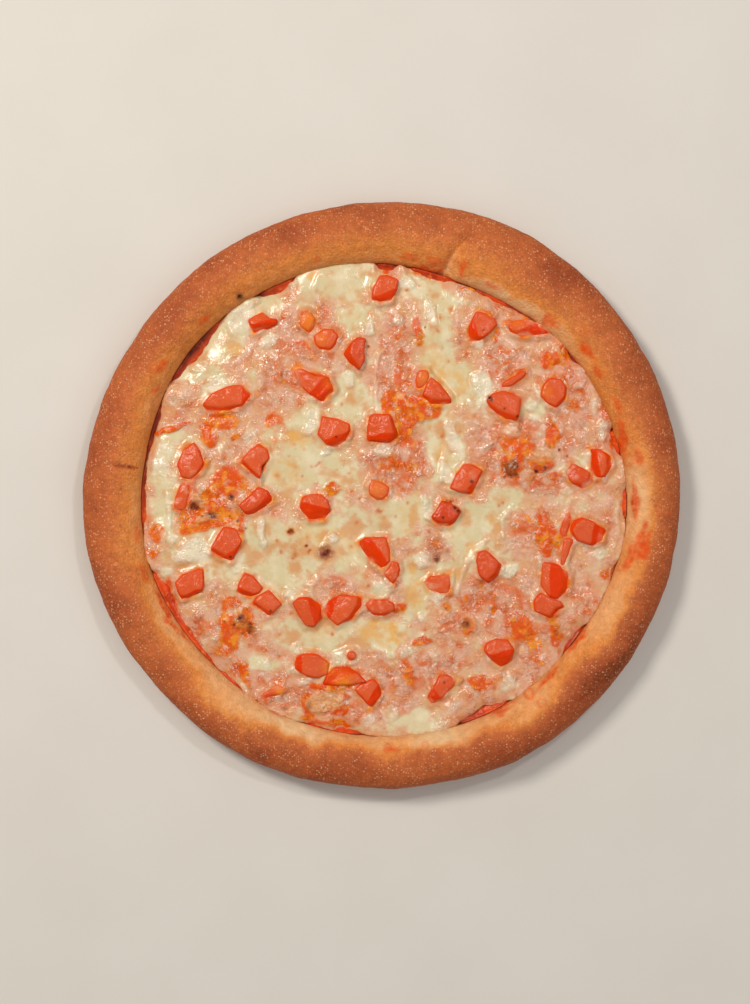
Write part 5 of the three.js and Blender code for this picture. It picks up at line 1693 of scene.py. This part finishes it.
@dataclass
class DicedTomato:
    """One piece of tomato, softened from its plain block."""

    name: str
    number: int  # the one in that name
    block: bpy.types.Object
    voxel: float = 0.45
    smoothing: int = 14
    swell: float = 0.2  # makes up for what the smoothing takes off
    facet: float = 0.3  # how steeply the flesh falls away from the cut
    bare: float = 0.1  # film of cheese where none is named

    def __post_init__(self) -> None:
        """Seed the piece's own unevenness."""
        self.grain = Grain(99 + self.number)

    def _soften(self) -> bpy.types.Object:
        """Copy the plain block and turn it to an evenly meshed, round-edged one.

        Returns:
            The copy.
        """
        pick(self.block)
        bpy.ops.object.duplicate()
        piece = bpy.context.object
        piece.name = self.name.replace("tomato", "tomato_dice")
        bpy.ops.object.mode_set(mode="EDIT")
        bpy.ops.mesh.select_all(action="SELECT")
        bpy.ops.mesh.remove_doubles(threshold=1e-6)
        bpy.ops.object.mode_set(mode="OBJECT")
        remesh = piece.modifiers.new("even", "REMESH")
        remesh.mode = "VOXEL"
        remesh.voxel_size = self.voxel * MM
        bpy.ops.object.modifier_apply(modifier=remesh.name)
        soften = piece.modifiers.new("soften", "SMOOTH")
        soften.iterations = self.smoothing
        bpy.ops.object.modifier_apply(modifier=soften.name)
        return piece

    def _numbers(self, points: np.ndarray, normals: np.ndarray, facing: np.ndarray,
                 flesh: np.ndarray) -> dict[str, np.ndarray]:
        """What the finish reads.

        Args:
            points: Place of each vertex.
            normals: Which way it faces.
            facing: How far it belongs to the cut top.
            flesh: How far that top is deeper red flesh.

        Returns:
            The finish's numbers by name.
        """
        soft = self.grain.soft
        level = points[:, 2] + 0.5 * soft(points, 5)
        low = 1 - smooth(level, CHEESE_TOP + 0.6, CHEESE_TOP + 2.2)
        film = 0.8 * low * smooth(soft(points, 6), -0.2, 0.4)
        film = union(film, VEILS.get(self.number, self.bare) * smooth(soft(points, 3.4), -0.1, 0.5))
        burnt, amber = np.zeros((2, len(points)))
        for x, y, width in SPECKS:
            spot = hump(distance_from(x, y, points), max(0.45 * width, 0.5))
            burnt = union(burnt, spot * (normals[:, 2] > 0.1))
        for x, y, width, strength in AMBER_SPOTS:
            near = distance_from(x, y, points) + 0.8 * soft(points + 60, 3)
            amber = union(amber, strength * hump(near, 0.5 * width))
        ripe = RIPE.get(self.number, 0.1 + 0.1 * math.sin(3.7 * (self.number - 1)))
        return {"amber": amber, "cut_and_sheen": facing - flesh, "flesh": flesh, "burnt": burnt, "film": film,
                "ripe": np.full(len(points), ripe)}

    def build(self, finish: bpy.types.Material) -> bpy.types.Object:
        """Build the piece.

        Args:
            finish: Its material.

        Returns:
            The finished piece.
        """
        piece = self._soften()
        points = places(piece)
        normals = read(piece.data.vertices, "normal", width=3)
        upward = normals[normals[:, 2] > 0.85]
        top = upward.mean(axis=0) if len(upward) else np.array([0.0, 0.0, 1.0])
        facing = smooth(normals @ (top / np.linalg.norm(top)), 0.6, 0.92)
        turn, starts = FLESH.get(self.number, (270, 99))
        angle = math.radians(turn)
        across = (points[:, :2] - points[:, :2].mean(axis=0)) @ [math.cos(angle), math.sin(angle)]
        across += self.grain.layers(points, (0.5, 3.5)) - starts
        points[:, 2] -= self.facet * np.clip(across, 0, 3) * (normals[:, 2] > 0.2)
        flesh = facing * smooth(across, -0.35, 0.35)
        relief = self.swell + self.grain.layers(points, (0.2, 4.5)) + self.grain.layers(points, (0.03, 1.8))
        put(piece, points + normals * relief[:, None])
        piece.data.materials.clear()
        note(piece, self._numbers(points, normals, facing, flesh))
        piece.data.materials.append(finish)
        pick(piece)
        bpy.ops.object.shade_smooth()
        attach(piece, BODY)
        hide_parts(self.name)
        return piece


# ---- Studio ----


@dataclass(frozen=True)
class Lamp:
    """One soft square light, aimed at the pizza."""

    name: str
    place: tuple[float, float, float]
    side: float
    power: float
    colour: str

    def add(self) -> None:
        """Put the light in the scene."""
        data = bpy.data.lights.new(self.name, "AREA")
        data.shape = "SQUARE"
        data.size = self.side * MM
        data.energy = self.power
        data.color = linear(self.colour)[:3]
        lamp = bpy.data.objects.new(self.name, data)
        lamp.location = Vector(self.place) * MM
        lamp.rotation_euler = (-lamp.location).to_track_quat("-Z", "Y").to_euler()
        bpy.context.collection.objects.link(lamp)


@dataclass(frozen=True)
class Studio:
    """The camera, the floor and the light."""

    scale_height: float = 9.0  # height at which the view is to scale
    view_height: float = 476.9  # what the frame's long side takes in at that height
    view_middle: tuple[float, float] = (-3.2, -3.2)
    lens: float = 85.0
    sensor: float = 36.0
    floor_side: float = 6000.0
    lamps: tuple[Lamp, ...] = (
        Lamp("key_light", (-620, 560, 1150), 320, 11.4, "#fffaf4"),
        Lamp("fill_light", (500, -300, 1500), 1400, 4.5, "#fbfbff"),
        Lamp("glint_light", (420, 520, 1200), 110, 2.8, "#ffffff"),
    )
    sky: str = "#f3f1ee"
    sky_strength: float = 0.36

    def add_camera(self) -> None:
        """Look straight down."""
        data = bpy.data.cameras.new("camera")
        data.sensor_fit = "VERTICAL"
        data.sensor_width = self.sensor
        data.sensor_height = self.sensor
        data.lens = self.lens
        data.clip_end = 100
        camera = bpy.data.objects.new("camera", data)
        distance = self.view_height * self.lens / self.sensor
        camera.location = Vector((*self.view_middle, self.scale_height + distance)) * MM
        bpy.context.collection.objects.link(camera)
        bpy.context.scene.camera = camera

    def add_floor(self, finish: bpy.types.Material) -> None:
        """Lay a plain floor under the pizza.

        Args:
            finish: Its material.
        """
        deselect()
        bpy.ops.mesh.primitive_plane_add(size=self.floor_side * MM)
        floor = bpy.context.object
        floor.name = "floor"
        floor.data.materials.append(finish)

    def add_light(self) -> None:
        """Light the pizza softly from the upper left."""
        for lamp in self.lamps:
            lamp.add()
        world = bpy.data.worlds.new("studio")
        world.use_nodes = True
        fill(world.node_tree.nodes["Background"], {"Color": self.sky, "Strength": self.sky_strength})
        bpy.context.scene.world = world
        bpy.context.scene.view_settings.view_transform = "Standard"


def main(nodes: dict[str, bpy.types.Object]) -> None:
    """Build the pizza and its studio round the plain solids.

    Args:
        nodes: The plain solids, by name.
    """
    logging.basicConfig(level=logging.INFO, format="%(name)s %(message)s")
    studio = Studio()
    studio.add_camera()
    studio.add_floor(PaintedFloor().make())
    studio.add_light()
    middle = outline_middle()
    LOG.info("middle %s", middle.round(3))
    blocks = {name: nodes[name] for name in sorted(nodes) if name.startswith("tomato_")}
    Crust(middle).build(BakedDough().make())
    Sauce(middle).build(TomatoSauce().make())
    Mozzarella(middle, blocks=tuple(blocks.values())).build(MeltedMozzarella().make())
    tomato = CookedTomato().make()
    for number, (name, block) in enumerate(blocks.items(), start=1):
        DicedTomato(name, number, block).build(tomato)
    LOG.info("tomato: %d pieces", len(blocks))


if __name__ == "__main__":
    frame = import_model()
    main(frame["nodes"])
